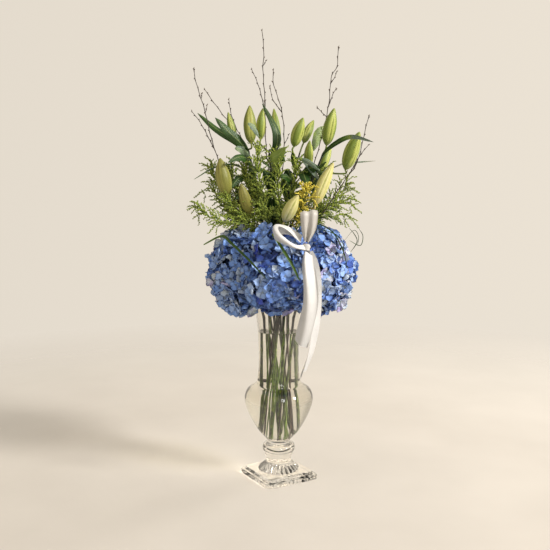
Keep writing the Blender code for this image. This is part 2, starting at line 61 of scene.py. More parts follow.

# %% [markdown]
# ## Camera
#
# The camera comes first. It stands a little above the middle of the bunch and looks slightly
# down through a normal lens, so the vase's foot and the top of its water both show as
# ellipses.

# %% Camera
camera = bpy.data.objects.new("camera", bpy.data.cameras.new("camera"))
CAMERA_DISTANCE = 1.70
CAMERA_HEIGHT = 0.645
CAMERA_TILT = 6.1  # degrees down from level
camera.data.lens = 50.0
camera.data.sensor_width = 36.0
camera.location = (-0.0085, -CAMERA_DISTANCE, CAMERA_HEIGHT)
camera.rotation_euler = (math.radians(90 - CAMERA_TILT), 0.0, 0.0)
bpy.context.scene.collection.objects.link(camera)
bpy.context.scene.camera = camera
print("camera at", [round(part, 3) for part in camera.location])

# %% [markdown]
# ## Gathering many small shapes into one mesh
#
# One hydrangea head has hundreds of petals. A separate object for each would be slow, so a
# Bunch gathers points and faces, and one mesh is made from it. Each point also carries four
# marks (how far along its shape it is, how far across, a tone and a shade), stored as a colour
# attribute. Materials read them, so a petal can be pale at its base with no image at all.


# %% Bunch and piece helpers
PLAIN_MARKS = (0.5, 0.5, 0.5, 1.0)


class Bunch:
    """Points in millimetres, faces, and four marks for each point."""

    def __init__(self):
        self.points, self.marks, self.faces, self.finishes = [], [], [], []
        self.count = 0

    def add(self, points, faces, marks, finish=0):
        points = np.reshape(points, (-1, 3))
        marks = np.reshape(marks, (-1, 4))
        self.points.append(points)
        self.marks.append(np.broadcast_to(marks, (len(points), 4)))
        self.faces += (np.asarray(faces) + self.count).tolist()
        self.finishes += [finish] * len(faces)
        self.count += len(points)

    def cap(self, corners, finish=0):
        """One face over points that are already in, counted back from the last."""
        self.faces.append([self.count - back for back in corners])
        self.finishes.append(finish)


def make_piece(name, bunch, finishes, stands_for=(), crease=None):
    """Turns a bunch into a smooth object that rides on the part."""
    mesh = bpy.data.meshes.new(name)
    mesh.from_pydata((np.vstack(bunch.points) * MM).tolist(), [], bunch.faces)
    marks = mesh.attributes.new("mark", "FLOAT_COLOR", "POINT")
    marks.data.foreach_set("color", np.vstack(bunch.marks).astype(np.float32).ravel())
    mesh.polygons.foreach_set("material_index", bunch.finishes)
    bm = bmesh.new()
    bm.from_mesh(mesh)
    bmesh.ops.recalc_face_normals(bm, faces=bm.faces)
    bm.to_mesh(mesh)
    bm.free()
    mesh.shade_smooth()
    if crease:
        mesh.set_sharp_from_angle(angle=math.radians(crease))
    for finish in finishes:
        mesh.materials.append(finish)
    piece = bpy.data.objects.new(name, mesh)
    bpy.context.scene.collection.objects.link(piece)
    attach(piece, "root")
    if stands_for:
        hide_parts(*stands_for)
    return piece


def tell(name, pieces):
    """Prints how many pieces and faces a step made."""
    print(f"{name}: {len(pieces)} pieces, {sum(len(p.data.polygons) for p in pieces)} faces")


# %% [markdown]
# ## Lines and rings
#
# Nearly everything here grows along a line: a stem, a bud, a leaf, a ribbon. A few helpers
# bend a line through given points, carry a sideways direction along it without twisting, and
# skin rings of points into a closed shape. This is the loft that a modeller does by hand.


# %% Line and loft helpers
def unit(vectors):
    vectors = np.asarray(vectors, float)
    return vectors / (np.linalg.norm(vectors, axis=-1, keepdims=True) + 1e-12)


def curve_through(points, per_span, before=None):
    """A Catmull-Rom line through the points with per_span steps between each two."""
    knots = np.asarray(points, float)
    first = 2 * knots[0] - knots[1] if before is None else before
    ghosts = np.vstack([first, knots, 2 * knots[-1] - knots[-2]])
    line = [knots[0]]
    for i in range(len(knots) - 1):
        p0, p1, p2, p3 = ghosts[i : i + 4]
        for step in range(1, per_span + 1):
            t = step / per_span
            bend = (2 * p0 - 5 * p1 + 4 * p2 - p3) * t * t + (3 * p1 - p0 - 3 * p2 + p3) * t**3
            line.append(p1 + 0.5 * ((p2 - p0) * t + bend))
    return np.array(line)


def frames_along(line, across):
    """Unit vectors ahead, to the side and out of the line at each of its points."""
    ahead = unit(np.gradient(line, axis=0))
    side, sides = np.asarray(across, float), []
    for way in ahead:
        side = unit(side - way * side.dot(way))
        sides.append(side)
    sides = np.array(sides)
    return ahead, sides, np.cross(ahead, sides)


def points_at(line, run, places):
    """Where a line is at some places, counted like run, which goes with the line's own points."""
    return np.stack([np.interp(places, run, line[:, i]) for i in range(3)], axis=-1)


def repeat_faces(faces, copies, points_each):
    """The faces of one shape for each of its copies, whose points follow one another."""
    shifts = np.arange(copies) * points_each
    return (faces[None] + shifts[:, None, None]).reshape(-1, faces.shape[1])


def ring_quads(rows, around):
    """Quads from each ring of points to the next."""
    ring = np.arange(around)
    after = np.roll(ring, -1)
    return repeat_faces(np.stack([ring, after, after + around, ring + around], axis=1), rows - 1, around)


def add_loft(bunch, rings, marks, finish=0):
    """Skins rings of points, shape (rows, around, 3), and closes both ends."""
    rows, around = rings.shape[:2]
    bunch.add(rings, ring_quads(rows, around), marks, finish)
    total = rows * around
    bunch.cap([total - i for i in range(around)], finish)
    bunch.cap([around - i for i in range(around)], finish)


def marks_for(along, across, tone, shade=1.0):
    """Marks over a grid from values that broadcast together."""
    marks = [np.asarray(mark, float) for mark in (along, across, tone, shade)]
    return np.stack(np.broadcast_arrays(*marks), axis=-1)


def full_turn(around):
    """Even angles round a full circle."""
    return np.linspace(0, 2 * math.pi, around, endpoint=False)


def turned(first, second, angle):
    """Two coordinates turned together by an angle."""
    cos, sin = np.cos(angle), np.sin(angle)
    return first * cos - second * sin, first * sin + second * cos


def spokes(side, out, turn):
    """Unit vectors that point away from a line at each angle, shape (points, angles, 3)."""
    return side[:, None] * np.cos(turn)[None, :, None] + out[:, None] * np.sin(turn)[None, :, None]


def add_tube(bunch, line, radii, around=8, tone=0.5, shade=1.0, finish=0):
    """A round stem along a line, with a radius at each point."""
    _, side, out = frames_along(line, (1.0, 0.23, 0.11))
    turn = full_turn(around)
    rings = line[:, None] + spokes(side, out, turn) * np.broadcast_to(radii, len(line))[:, None, None]
    along = np.linspace(0, 1, len(line))[:, None]
    add_loft(bunch, rings, marks_for(along, turn / (2 * math.pi), tone, shade), finish)


def bead_shape(around, rings):
    """A small egg of length 1 and radius 1 along Z, as points and faces."""
    heights = (np.arange(rings) + 1) / (rings + 1)
    radii = np.sqrt(np.sin(math.pi * heights**0.85))
    points = [(0.0, 0.0, 0.0)]
    for height, radius in zip(heights, radii):
        points += [(radius * math.cos(t), radius * math.sin(t), height) for t in full_turn(around)]
    points.append((0.0, 0.0, 1.0))
    faces = [(0, 1 + (i + 1) % around, 1 + i) for i in range(around)]
    for row in range(rings - 1):
        low = 1 + row * around
        for i in range(around):
            j = (i + 1) % around
            faces += [(low + i, low + j, low + j + around), (low + i, low + j + around, low + i + around)]
    low = 1 + (rings - 1) * around
    faces += [(low + i, low + (i + 1) % around, len(points) - 1) for i in range(around)]
    return np.array(points), np.array(faces)


BEAD_POINTS, BEAD_FACES = bead_shape(6, 3)


def add_beads(bunch, starts, ways, lengths, radii, tones, shade=1.0, finish=0):
    """Small eggs, each from a start along its way."""
    starts, ways = np.reshape(starts, (-1, 3)), unit(np.reshape(ways, (-1, 3)))
    helper = np.where(np.abs(ways[:, 2:]) < 0.9, [[0.0, 0.0, 1.0]], [[1.0, 0.0, 0.0]])
    side = unit(np.cross(helper, ways))
    out = np.cross(ways, side)
    lengths, radii = np.broadcast_to(lengths, len(starts)), np.broadcast_to(radii, len(starts))
    p = BEAD_POINTS[None]
    aside = side[:, None] * p[..., :1] + out[:, None] * p[..., 1:2]
    points = starts[:, None] + aside * radii[:, None, None]
    points = points + ways[:, None] * p[..., 2:] * lengths[:, None, None]
    faces = repeat_faces(BEAD_FACES, len(starts), len(BEAD_POINTS))
    tones = np.broadcast_to(tones, len(starts))[:, None]
    bunch.add(points, faces, marks_for(p[..., 2], 0.5, tones, shade), finish)


print("helpers ready; one bead has", len(BEAD_FACES), "faces")

# %% [markdown]
# ## Shared effects
#
# Petals, leaves, stems and bark share a few effects: soft blotches, fine parallel veins, and
# the marks that each mesh carries. Each is a node group, built once. A material places it and
# gives it its own numbers, which is how a larger library keeps its finishes consistent.


# %% Node group helpers
def srgb(red, green, blue):
    """A colour as people name it, 0 to 255, turned into the linear light that shaders use."""
    parts = [part / 255 for part in (red, green, blue)]
    return tuple(p / 12.92 if p <= 0.04045 else ((p + 0.055) / 1.055) ** 2.4 for p in parts) + (1.0,)


def new_group(name, inputs, outputs):
    """An empty shader node group with float inputs (name, default) and (name, kind) outputs."""
    tree = bpy.data.node_groups.new(name, "ShaderNodeTree")
    for label, value in inputs:
        socket = tree.interface.new_socket(label, in_out="INPUT", socket_type="NodeSocketFloat")
        socket.default_value = value
    for label, kind in outputs:
        tree.interface.new_socket(label, in_out="OUTPUT", socket_type=kind)
    return tree, tree.nodes.new("NodeGroupInput"), tree.nodes.new("NodeGroupOutput")


def math_node(tree, operation, first, second=None, third=None):
    """A Math node; each operand is a number or a socket. Returns its output."""
    node = tree.nodes.new("ShaderNodeMath")
    node.operation = operation
    for socket, value in zip(node.inputs, (first, second, third)):
        if isinstance(value, bpy.types.NodeSocket):
            tree.links.new(value, socket)
        elif value is not None:
            socket.default_value = value
    return node.outputs[0]


FLOAT = "NodeSocketFloat"
WHITE, GREY, BLACK = (1, 1, 1, 1), (0.5, 0.5, 0.5, 1), (0, 0, 0, 1)

# The marks of a mesh, as separate values.
PLANT_MARKS, _, marks_out = new_group(
    "plant marks", [], [("Along", FLOAT), ("Across", FLOAT), ("Tone", FLOAT), ("Shade", FLOAT)]
)
mark_reader = PLANT_MARKS.nodes.new("ShaderNodeAttribute")
mark_reader.attribute_name = "mark"
mark_parts = PLANT_MARKS.nodes.new("ShaderNodeSeparateColor")
PLANT_MARKS.links.new(mark_reader.outputs["Color"], mark_parts.inputs[0])
for i in range(3):
    PLANT_MARKS.links.new(mark_parts.outputs[i], marks_out.inputs[i])
PLANT_MARKS.links.new(mark_reader.outputs["Alpha"], marks_out.inputs["Shade"])

# Soft blotches at a scale in blotches per metre, from 0 to 1, with a finer layer beside them.
BLOTCHES, blotch_in, blotch_out = new_group(
    "blotches", [("Scale", 60.0), ("Fine scale", 400.0)], [("Blotch", FLOAT), ("Fine", FLOAT)]
)
place = BLOTCHES.nodes.new("ShaderNodeTexCoord")
for label, detail in (("Scale", 3.0), ("Fine scale", 2.0)):
    noise = BLOTCHES.nodes.new("ShaderNodeTexNoise")
    noise.inputs["Detail"].default_value = detail
    BLOTCHES.links.new(place.outputs["Object"], noise.inputs["Vector"])
    BLOTCHES.links.new(blotch_in.outputs[label], noise.inputs["Scale"])
    BLOTCHES.links.new(noise.outputs["Fac"], blotch_out.inputs["Blotch" if label == "Scale" else "Fine"])

# Parallel veins across a blade or petal: 1 on a vein, 0 between two.
VEINS, vein_in, vein_out = new_group(
    "veins", [("Across", 0.5), ("Count", 9.0), ("Sharpness", 3.0)], [("Vein", FLOAT)]
)
wave = math_node(VEINS, "MULTIPLY", vein_in.outputs["Across"], vein_in.outputs["Count"])
wave = math_node(VEINS, "MULTIPLY", wave, math.pi)
wave = math_node(VEINS, "ABSOLUTE", math_node(VEINS, "COSINE", wave))
VEINS.links.new(math_node(VEINS, "POWER", wave, vein_in.outputs["Sharpness"]), vein_out.inputs[0])

# What stands below the water's surface, from 0 above it to 1 below.
UNDER_WATER, _, wet_out = new_group("under water", [], [("Below", FLOAT)])
spot = UNDER_WATER.nodes.new("ShaderNodeTexCoord")
spot_parts = UNDER_WATER.nodes.new("ShaderNodeSeparateXYZ")
UNDER_WATER.links.new(spot.outputs["Object"], spot_parts.inputs[0])
WATER_BELOW_RIM = 59.0
WATER_Z = RIM_Z - WATER_BELOW_RIM
wet = math_node(UNDER_WATER, "SUBTRACT", WATER_Z * MM, spot_parts.outputs["Z"])
wet = math_node(UNDER_WATER, "MULTIPLY_ADD", wet, 40.0, 0.5)
wet = math_node(UNDER_WATER, "MAXIMUM", math_node(UNDER_WATER, "MINIMUM", wet, 1.0), 0.0)
UNDER_WATER.links.new(wet, wet_out.inputs[0])
print("node groups:", [tree.name for tree in bpy.data.node_groups])


# %% Material helper
class Finish:
    """A material with its Principled shader, and short ways to add nodes to it."""

    def __init__(self, name, **constants):
        self.material = bpy.data.materials.new(name)
        self.material.use_nodes = True
        self.tree = self.material.node_tree
        self.shader = self.tree.nodes["Principled BSDF"]
        for label, value in constants.items():
            self.shader.inputs[label.replace("_", " ")].default_value = value

    def group(self, tree, **values):
        node = self.tree.nodes.new("ShaderNodeGroup")
        node.node_tree = tree
        for label, value in values.items():
            socket = node.inputs[label.replace("_", " ")]
            if isinstance(value, bpy.types.NodeSocket):
                self.tree.links.new(value, socket)
            else:
                socket.default_value = value
        return node.outputs

    def math(self, operation, first, second=None, third=None):
        return math_node(self.tree, operation, first, second, third)

    def ramp(self, value, *stops):
        """Colours at places from 0 to 1 along a value."""
        node = self.tree.nodes.new("ShaderNodeValToRGB")
        band = node.color_ramp
        while len(band.elements) < len(stops):
            band.elements.new(0.5)
        for element, (position, colour) in zip(band.elements, stops):
            element.position = position
            element.color = colour
        self.tree.links.new(value, node.inputs[0])
        return node.outputs[0]

    def mix(self, share, low, high, way="MIX"):
        """Two colours mixed by a share; each is a colour or a socket."""
        node = self.tree.nodes.new("ShaderNodeMix")
        node.data_type = "RGBA"
        node.blend_type = way
        for socket, value in ((node.inputs[0], share), (node.inputs[6], low), (node.inputs[7], high)):
            if isinstance(value, bpy.types.NodeSocket):
                self.tree.links.new(value, socket)
            else:
                socket.default_value = value
        return node.outputs[2]

    def set(self, label, socket):
        self.tree.links.new(socket, self.shader.inputs[label])

    def drift(self, blotch, amount, value):
        """A value that wanders up and down by an amount with the blotches."""
        return self.math("MULTIPLY_ADD", self.math("SUBTRACT", blotch["Blotch"], 0.5), amount, value)

    def edges(self, across, sharpness):
        """0 along the middle of a petal or ribbon, 1 at both edges."""
        off_middle = self.math("ABSOLUTE", self.math("MULTIPLY_ADD", across, 2.0, -1.0))
        return self.math("POWER", off_middle, sharpness)

    def tint(self, amount, mask, colour, other, way="MIX"):
        """Another colour laid over a colour, by an amount where the mask is 1."""
        return self.mix(self.math("MULTIPLY", mask, amount), colour, other, way)

    def shade(self, colour, marks, dark):
        """Sets the base colour, darkened towards dark where the shade mark is low."""
        dim = self.mix(marks["Shade"], dark, WHITE)
        self.set("Base Color", self.mix(1.0, colour, dim, "MULTIPLY"))

    def bump(self, height, distance, strength=0.6):
        node = self.tree.nodes.new("ShaderNodeBump")
        node.inputs["Strength"].default_value = strength
        node.inputs["Distance"].default_value = distance
        self.tree.links.new(height, node.inputs["Height"])
        self.set("Normal", node.outputs[0])


print("material helper ready")

# %% [markdown]
# ## Clear glass and water
#
# The vase is pressed crystal, so it is one solid with thick walls and a nearly smooth surface.
# Its Principled shader lets all light through and bends it. Lamps would otherwise reach the
# stems only by chance paths, so for shadow rays the material turns plain transparent. The
# water is a second solid, just overlapping the glass wall, which removes the air gap that
# would mirror the room.


# %% Glass and water materials
def mix_with_clear(finish, share, tint):
    """Mixes a plain transparent shader in by a share."""
    nodes, links = finish.tree.nodes, finish.tree.links
    clear = nodes.new("ShaderNodeBsdfTransparent")
    clear.inputs[0].default_value = tint
    both = nodes.new("ShaderNodeMixShader")
    links.new(share, both.inputs[0])
    links.new(finish.shader.outputs[0], both.inputs[1])
    links.new(clear.outputs[0], both.inputs[2])
    links.new(both.outputs[0], nodes["Material Output"].inputs["Surface"])


def let_lamps_through(finish, tint):
    """Makes a material plain transparent for shadow rays."""
    path = finish.tree.nodes.new("ShaderNodeLightPath")
    mix_with_clear(finish, path.outputs["Is Shadow Ray"], tint)


glass = Finish("clear crystal glass", Base_Color=srgb(250, 248, 243), IOR=1.5, Transmission_Weight=1.0)
glass_marks = glass.group(BLOTCHES, Scale=25.0, Fine_scale=900.0)
glass.set("Roughness", glass.math("MULTIPLY", glass_marks["Blotch"], 0.02))
glass.bump(glass_marks["Blotch"], 0.0004, 0.25)
let_lamps_through(glass, (0.93, 0.92, 0.90, 1.0))

water = Finish(
    "vase water", Base_Color=srgb(252, 252, 248), IOR=1.333, Transmission_Weight=1.0, Roughness=0.0
)
water_marks = water.group(BLOTCHES, Scale=18.0, Fine_scale=120.0)
water.bump(water_marks["Blotch"], 0.0005, 0.2)
let_lamps_through(water, (0.95, 0.95, 0.92, 1.0))
print("finishes:", glass.material.name, "and", water.material.name)

# %% [markdown]
# ## The vase
#
# The real vase was blown into a mould and tooled: a stepped square foot, a skirt with pressed
# ribs, a collar, a round knop, an urn-shaped bulb, a ring at the shoulder and a flared neck.
# Everything above the foot turns about one axis, so a profile is spun. The ribs are made by
# letting the radius rise and fall round the skirt. The foot is a stack of rounded squares,
# joined on with a Boolean so the glass stays one solid.

# %% Vase measurements
FOOT_SIDE = 134.0
FOOT_THICKNESS = 17.0
FOOT_TURN = 30.0
SKIRT_RADIUS = 43.0
SKIRT_HEIGHT = 18.0
COLLAR_RADIUS = 29.5
COLLAR_HEIGHT = 20.0
KNOP_RADIUS = 36.7
KNOP_HEIGHT = 26.0
WAIST_RADIUS = 24.0
BULB_RADIUS = 77.5
BULB_HEIGHT = 136.0
NECK_RADIUS = 45.0
NECK_HEIGHT = 178.0
RIM_RADIUS = 57.0
GLASS_WALL = 3.5
GLASS_FLOOR = 10.0
BULB_SHAPE = ((0.0, 0.02), (0.20, 0.11), (0.44, 0.22), (0.76, 0.44), (0.95, 0.63), (1.0, 0.77),
              (0.90, 0.89), (0.68, 0.96))
NECK_SHAPE = ((0.45, 0.0), (0.16, 0.12), (0.0, 0.27), (0.04, 0.48), (0.20, 0.68), (0.52, 0.87),
              (1.0, 1.0))
# The cavity's floor, from the axis to the wall: share of the radius there, and rise.
FLOOR_SHAPE = ((0.0, 0.0), (0.3, 0.1), (0.6, 0.8), (0.85, 2.0))
SKIRT_TOP = FOOT_THICKNESS + SKIRT_HEIGHT
BOWL_Z = SKIRT_TOP + COLLAR_HEIGHT + KNOP_HEIGHT
print("vase height adds up to", BOWL_Z + BULB_HEIGHT + NECK_HEIGHT)


# %% Glass profile
def bowl_line(per_span):
    """The outside of the hollow part as smooth (radius, height) pairs, waist to rim."""
    pairs = []
    for out, up in BULB_SHAPE:
        pairs.append((WAIST_RADIUS + (BULB_RADIUS - WAIST_RADIUS) * out, BOWL_Z + BULB_HEIGHT * up))
    for out, up in NECK_SHAPE:
        pairs.append((NECK_RADIUS + (RIM_RADIUS - NECK_RADIUS) * out, RIM_Z - NECK_HEIGHT * (1 - up)))
    return curve_through([(radius, 0.0, height) for radius, height in pairs], per_span)[:, (0, 2)]


def inset(line, by):
    """A (radius, height) line moved square to itself towards the axis."""
    ahead = unit(np.gradient(line, axis=0))
    return line + np.stack([-ahead[:, 1], ahead[:, 0]], axis=1) * by


def cavity_line(clearance=0.0, per_span=5):
    """The inside of the glass from the axis up to the rim."""
    floor_z = RIM_Z - NECK_HEIGHT - BULB_HEIGHT + GLASS_FLOOR + clearance
    wall = inset(bowl_line(per_span), GLASS_WALL + clearance)
    wall = wall[wall[:, 1] > floor_z + 3]
    floor = [(wall[0][0] * share, floor_z + rise) for share, rise in FLOOR_SHAPE]
    return np.vstack([floor, wall])


def arc(centre, radii, start, stop, steps):
    """Part of an ellipse as (radius, height) pairs, with angles in degrees."""
    turns = np.radians(np.linspace(start, stop, steps))
    return [(centre[0] + radii[0] * math.cos(t), centre[1] + radii[1] * math.sin(t)) for t in turns]


cavity = cavity_line()
cavity_wall = cavity[len(FLOOR_SHAPE) :]
neck_inside = cavity_wall[cavity_wall[:, 1] > RIM_Z - NECK_HEIGHT, 0].min()
print("glass floor at", round(cavity[0][1], 1), "mm; inside of the neck", round(neck_inside, 1))


# %% Spin, foot and vase
def spin(profile, around, ripple=None):
    """Rings of points round Z from (radius, height) pairs; ripple changes the radius by turn."""
    turn = full_turn(around)
    profile = np.asarray(profile)
    radius = profile[:, :1] * np.ones_like(turn)
    if ripple:
        radius = radius * ripple(profile[:, 1:], turn)
    height = profile[:, 1:] * np.ones_like(turn)
    return np.stack([radius * np.cos(turn), radius * np.sin(turn), height], axis=-1)


def square_ring(half, corner, height, per_corner=9):
    """A square with rounded corners, turned like the foot."""
    points = []
    for quarter in range(4):
        base = math.radians(90 * quarter)
        diagonal = np.array([math.cos(base) - math.sin(base), math.sin(base) + math.cos(base)])
        for step in range(per_corner):
            turn = base + math.radians(90 * step / (per_corner - 1))
            spot = diagonal * (half - corner) + corner * np.array([math.cos(turn), math.sin(turn)])
            points.append((*spot, height))
    turn = math.radians(FOOT_TURN)
    spin_z = np.array([[math.cos(turn), -math.sin(turn), 0], [math.sin(turn), math.cos(turn), 0], [0, 0, 1]])
    return np.array(points) @ spin_z.T


# %% Foot, skirt and collar shapes
RIB_COUNT = 24
RIB_DEPTH = 0.13  # as a share of the radius
SKIRT_FLARE = SKIRT_RADIUS + 2 - COLLAR_RADIUS
# Shares of the flare and of the skirt's height.
SKIRT_SHAPE = ((1.0, 0.04), (1.02, 0.10), (0.99, 0.18), (0.90, 0.28), (0.78, 0.38), (0.65, 0.48),
               (0.52, 0.58), (0.40, 0.68), (0.29, 0.78), (0.19, 0.87), (0.09, 0.95))
# Steps out from the collar's radius, and heights above the skirt.
COLLAR_SHAPE = ((0.4, 0.4), (-0.9, 2), (-1.4, 8), (-1.2, 14), (-0.4, 17.5), (2.2, 18.4), (2.2, 20))
# Steps in from the foot's side, and heights.
FOOT_STEPS = ((2, 0.0), (0, 1.6), (0, 8.6), (1.4, 10.2), (6, 10.8), (7, 11.8), (7.4, 15.0), (8.6, 16.6),
              (10.5, FOOT_THICKNESS))
FOOT_CORNER = 13.0
SHOULDER_RING = 1.3  # how far the moulded ring stands out where the neck begins


def skirt_ribs(height, turn):
    """Ribs that swell over the skirt and fade into the foot and the collar."""
    share = np.clip((height - FOOT_THICKNESS) / SKIRT_HEIGHT, 0, 1)
    swell = np.sin(math.pi * np.clip(share * 0.9 + 0.08, 0, 1)) ** 0.5
    depth = RIB_DEPTH * swell * (height < SKIRT_TOP)
    return 1 + depth * (np.abs(np.cos(turn * RIB_COUNT / 2)) - 0.6)


def vase_profile():
    """The whole outline as (radius, height) pairs: up the outside, over the lip and down inside."""
    profile = [(0.0, 6.0), (SKIRT_RADIUS + 2, 6.0), (SKIRT_RADIUS + 2, FOOT_THICKNESS)]
    for out, up in SKIRT_SHAPE:
        profile.append((COLLAR_RADIUS + SKIRT_FLARE * out, FOOT_THICKNESS + SKIRT_HEIGHT * up))
    profile += [(COLLAR_RADIUS + out, SKIRT_TOP + up) for out, up in COLLAR_SHAPE]
    knop = (COLLAR_RADIUS, SKIRT_TOP + COLLAR_HEIGHT + KNOP_HEIGHT / 2)
    profile += arc(knop, (KNOP_RADIUS - COLLAR_RADIUS, KNOP_HEIGHT / 2 - 2.2), -72, 72, 13)
    knop_top = knop[1] + KNOP_HEIGHT / 2
    profile += [(COLLAR_RADIUS - 1.5, knop_top - 1.2), (WAIST_RADIUS + 0.6, knop_top)]
    bowl = bowl_line(6)
    ring_z = RIM_Z - NECK_HEIGHT + 3
    bowl[:, 0] += SHOULDER_RING * np.exp(-(((bowl[:, 1] - ring_z) / 2.6) ** 2))
    profile += [tuple(pair) for pair in bowl[:-1]]
    lip = (RIM_RADIUS - GLASS_WALL / 2, RIM_Z - GLASS_WALL / 2)
    profile += arc(lip, (GLASS_WALL / 2, GLASS_WALL / 2), 0, 180, 7)
    return profile + [tuple(pair) for pair in cavity[::-1] if pair[1] < RIM_Z - GLASS_WALL]


def build_foot():
    """The stepped square foot as an object of its own, for the Boolean."""
    rings = [square_ring(FOOT_SIDE / 2 - step, FOOT_CORNER, height) for step, height in FOOT_STEPS]
    foot = Bunch()
    add_loft(foot, np.array(rings), PLAIN_MARKS)
    return make_piece("vase_foot", foot, [glass.material])


def build_vase():
    bunch = Bunch()
    rings = spin([pair for pair in vase_profile() if pair[0] > 0], 240, skirt_ribs)
    add_loft(bunch, rings, PLAIN_MARKS)
    body = make_piece("crystal_vase", bunch, [glass.material], ["vase"])
    foot = build_foot()
    join = body.modifiers.new("join the foot", "BOOLEAN")
    join.operation, join.object = "UNION", foot
    bpy.context.view_layer.update()
    joined = bpy.data.meshes.new_from_object(body.evaluated_get(bpy.context.evaluated_depsgraph_get()))
    body.modifiers.clear()
    body.data = joined
    joined.shade_smooth()
    joined.set_sharp_from_angle(angle=math.radians(28))
    bpy.data.objects.remove(foot)
    return body


tell("vase", [build_vase()])


# %% Water
def build_water():
    """Fills the bowl a hair past the glass, with a small rise where it meets the wall."""
    room = cavity_line(-0.15)
    inner = room[room[:, 1] < WATER_Z - 2]
    sides = room[len(FLOOR_SHAPE) :]
    wall = float(np.interp(WATER_Z, sides[:, 1], sides[:, 0]))
    rise = [(wall, WATER_Z + 1.1), (wall - 0.9, WATER_Z + 0.45), (wall - 2.4, WATER_Z)]
    level = [(wall * 0.6, WATER_Z), (wall * 0.25, WATER_Z)]
    profile = [tuple(pair) for pair in inner if pair[0] > 0] + rise + level
    bunch = Bunch()
    add_loft(bunch, spin(profile, 96), PLAIN_MARKS)
    return make_piece("vase_water", bunch, [water.material], ["water"], crease=40)


tell("water", [build_water()])

# %% [markdown]
# ## Where the stems run
#
# Fresh stems are straight where they cross in the vase. They stand in three rings that lean
# sideways like a twisted sheaf, so that each passes its neighbours and none meets another.
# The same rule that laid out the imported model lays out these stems, with a smoother line.

# %% Stem routes
WAIST_Z = RIM_Z - 145.0
SPREAD_Z = RIM_Z + 150.0
STEM_REST = 1.5
LILY_RING = (9.5, 0.05)
SLIM_RING = (19.5, 0.10)
HYDRANGEA_RING = (29.5, 0.15)


def above_rim(points):
    """Plant points, X, Y and height above the rim, as places in the part."""
    return np.asarray(points, float) + [0.0, 0.0, RIM_Z]


def ring_point(ring, azimuth, height):
    """Where a stem of a ring is at a height, if it leaves the bundle at the azimuth."""
    waist, lean = ring
    turn = math.radians(azimuth) - math.atan2(lean * (SPREAD_Z - WAIST_Z), waist)
    slide = lean * (height - WAIST_Z)
    return np.array([waist * math.cos(turn) - slide * math.sin(turn),
                     waist * math.sin(turn) + slide * math.cos(turn), height])


def rest_height(ring, radius):
    """The lowest height at which a stem of this ring fits inside the glass."""
    height = cavity[0][1] + STEM_REST
    while True:
        reach = ring_point(ring, 0.0, height)
        room = np.interp(height, cavity_wall[:, 1], cavity_wall[:, 0])
        if math.hypot(reach[0], reach[1]) + radius + STEM_REST < room:
            return height
        height += 0.5


def stem_route(ring, azimuth, radius, leave_z, upper, spans=8, straight=26):
    """A stem's line: straight up to leave_z, then through the upper points."""
    foot = ring_point(ring, azimuth, rest_height(ring, radius))
    leave = ring_point(ring, azimuth, leave_z)
    back = unit(foot - leave) * np.linalg.norm(np.asarray(upper[0]) - leave)
    bent = curve_through(np.vstack([[leave], upper]), spans, before=leave + back)
    low = foot + (leave - foot) * np.linspace(0, 1, straight)[:-1, None]
    return np.vstack([low, bent]), len(low)


def lengths_along(line):
    """The distance from the start at each point of a line."""
    return np.concatenate([[0.0], np.cumsum(np.linalg.norm(np.diff(line, axis=0), axis=1))])


def at_share(line, share):
    """The point and direction at a share of a line's length."""
    run = lengths_along(line)
    where = share * run[-1]
    ahead = unit(np.gradient(line, axis=0))
    return points_at(line, run, where), unit(points_at(ahead, run, where))


feet = [round(rest_height(ring, 4.0), 1) for ring in (LILY_RING, SLIM_RING, HYDRANGEA_RING)]
print("stem feet rest at", feet)

# %% [markdown]
# ## Stem finishes
#
# Hydrangea stems are woody, dark and dotted with small pores above the water, and look green
# and swollen below it. Lily stems are smooth and green. Both are one Principled shader whose
# colour is driven by blotches along the stem and by the height of the water.


# %% Stem materials
def stem_finish(name, dry_low, dry_high, wet_low, wet_high, roughness, pore_depth):
    finish = Finish(name, Roughness=roughness)
    blotch = finish.group(BLOTCHES, Scale=90.0, Fine_scale=700.0)
    dry = finish.ramp(blotch["Blotch"], (0.35, dry_low), (0.68, dry_high))
    soaked = finish.ramp(blotch["Blotch"], (0.35, wet_low), (0.68, wet_high))
    below = finish.group(UNDER_WATER)["Below"]
    colour = finish.mix(below, dry, soaked)
    marks = finish.group(PLANT_MARKS)
    ribs = finish.group(VEINS, Across=marks["Across"], Count=9.0, Sharpness=4.0)
    colour = finish.tint(0.35, ribs["Vein"], colour, srgb(30, 30, 14), "MULTIPLY")
    finish.set("Base Color", colour)
    finish.bump(finish.math("MULTIPLY_ADD", ribs["Vein"], 0.6, blotch["Fine"]), pore_depth)
    return finish


woody_stem = stem_finish(
    "woody stem", srgb(12, 11, 5), srgb(34, 31, 13), srgb(28, 36, 10), srgb(82, 96, 32), 0.6, 0.0006
)
green_stem = stem_finish(
    "green stem", srgb(14, 22, 6), srgb(40, 53, 16), srgb(34, 50, 14), srgb(112, 134, 44), 0.45, 0.0003
)
print("finishes:", woody_stem.material.name, green_stem.material.name)

# %% [markdown]
# ## Hydrangea stems
#
# A cut hydrangea stem is about as thick as a pencil, swells a little at each old leaf joint,
# and is cut slanting at the foot. Each rises through the neck and bends out into its head.

# %% Hydrangea stems
HEAD_COUNT = 5
HYDRANGEA_STEM = 7.0
# Where a stem bends out into its head: distance from the axis and height above the rim.
HEAD_BEND = ((RIM_RADIUS - 13, 4), (56, 32), (66, 62))


def head_azimuth(index):
    return 270.0 + 360.0 / HEAD_COUNT * index


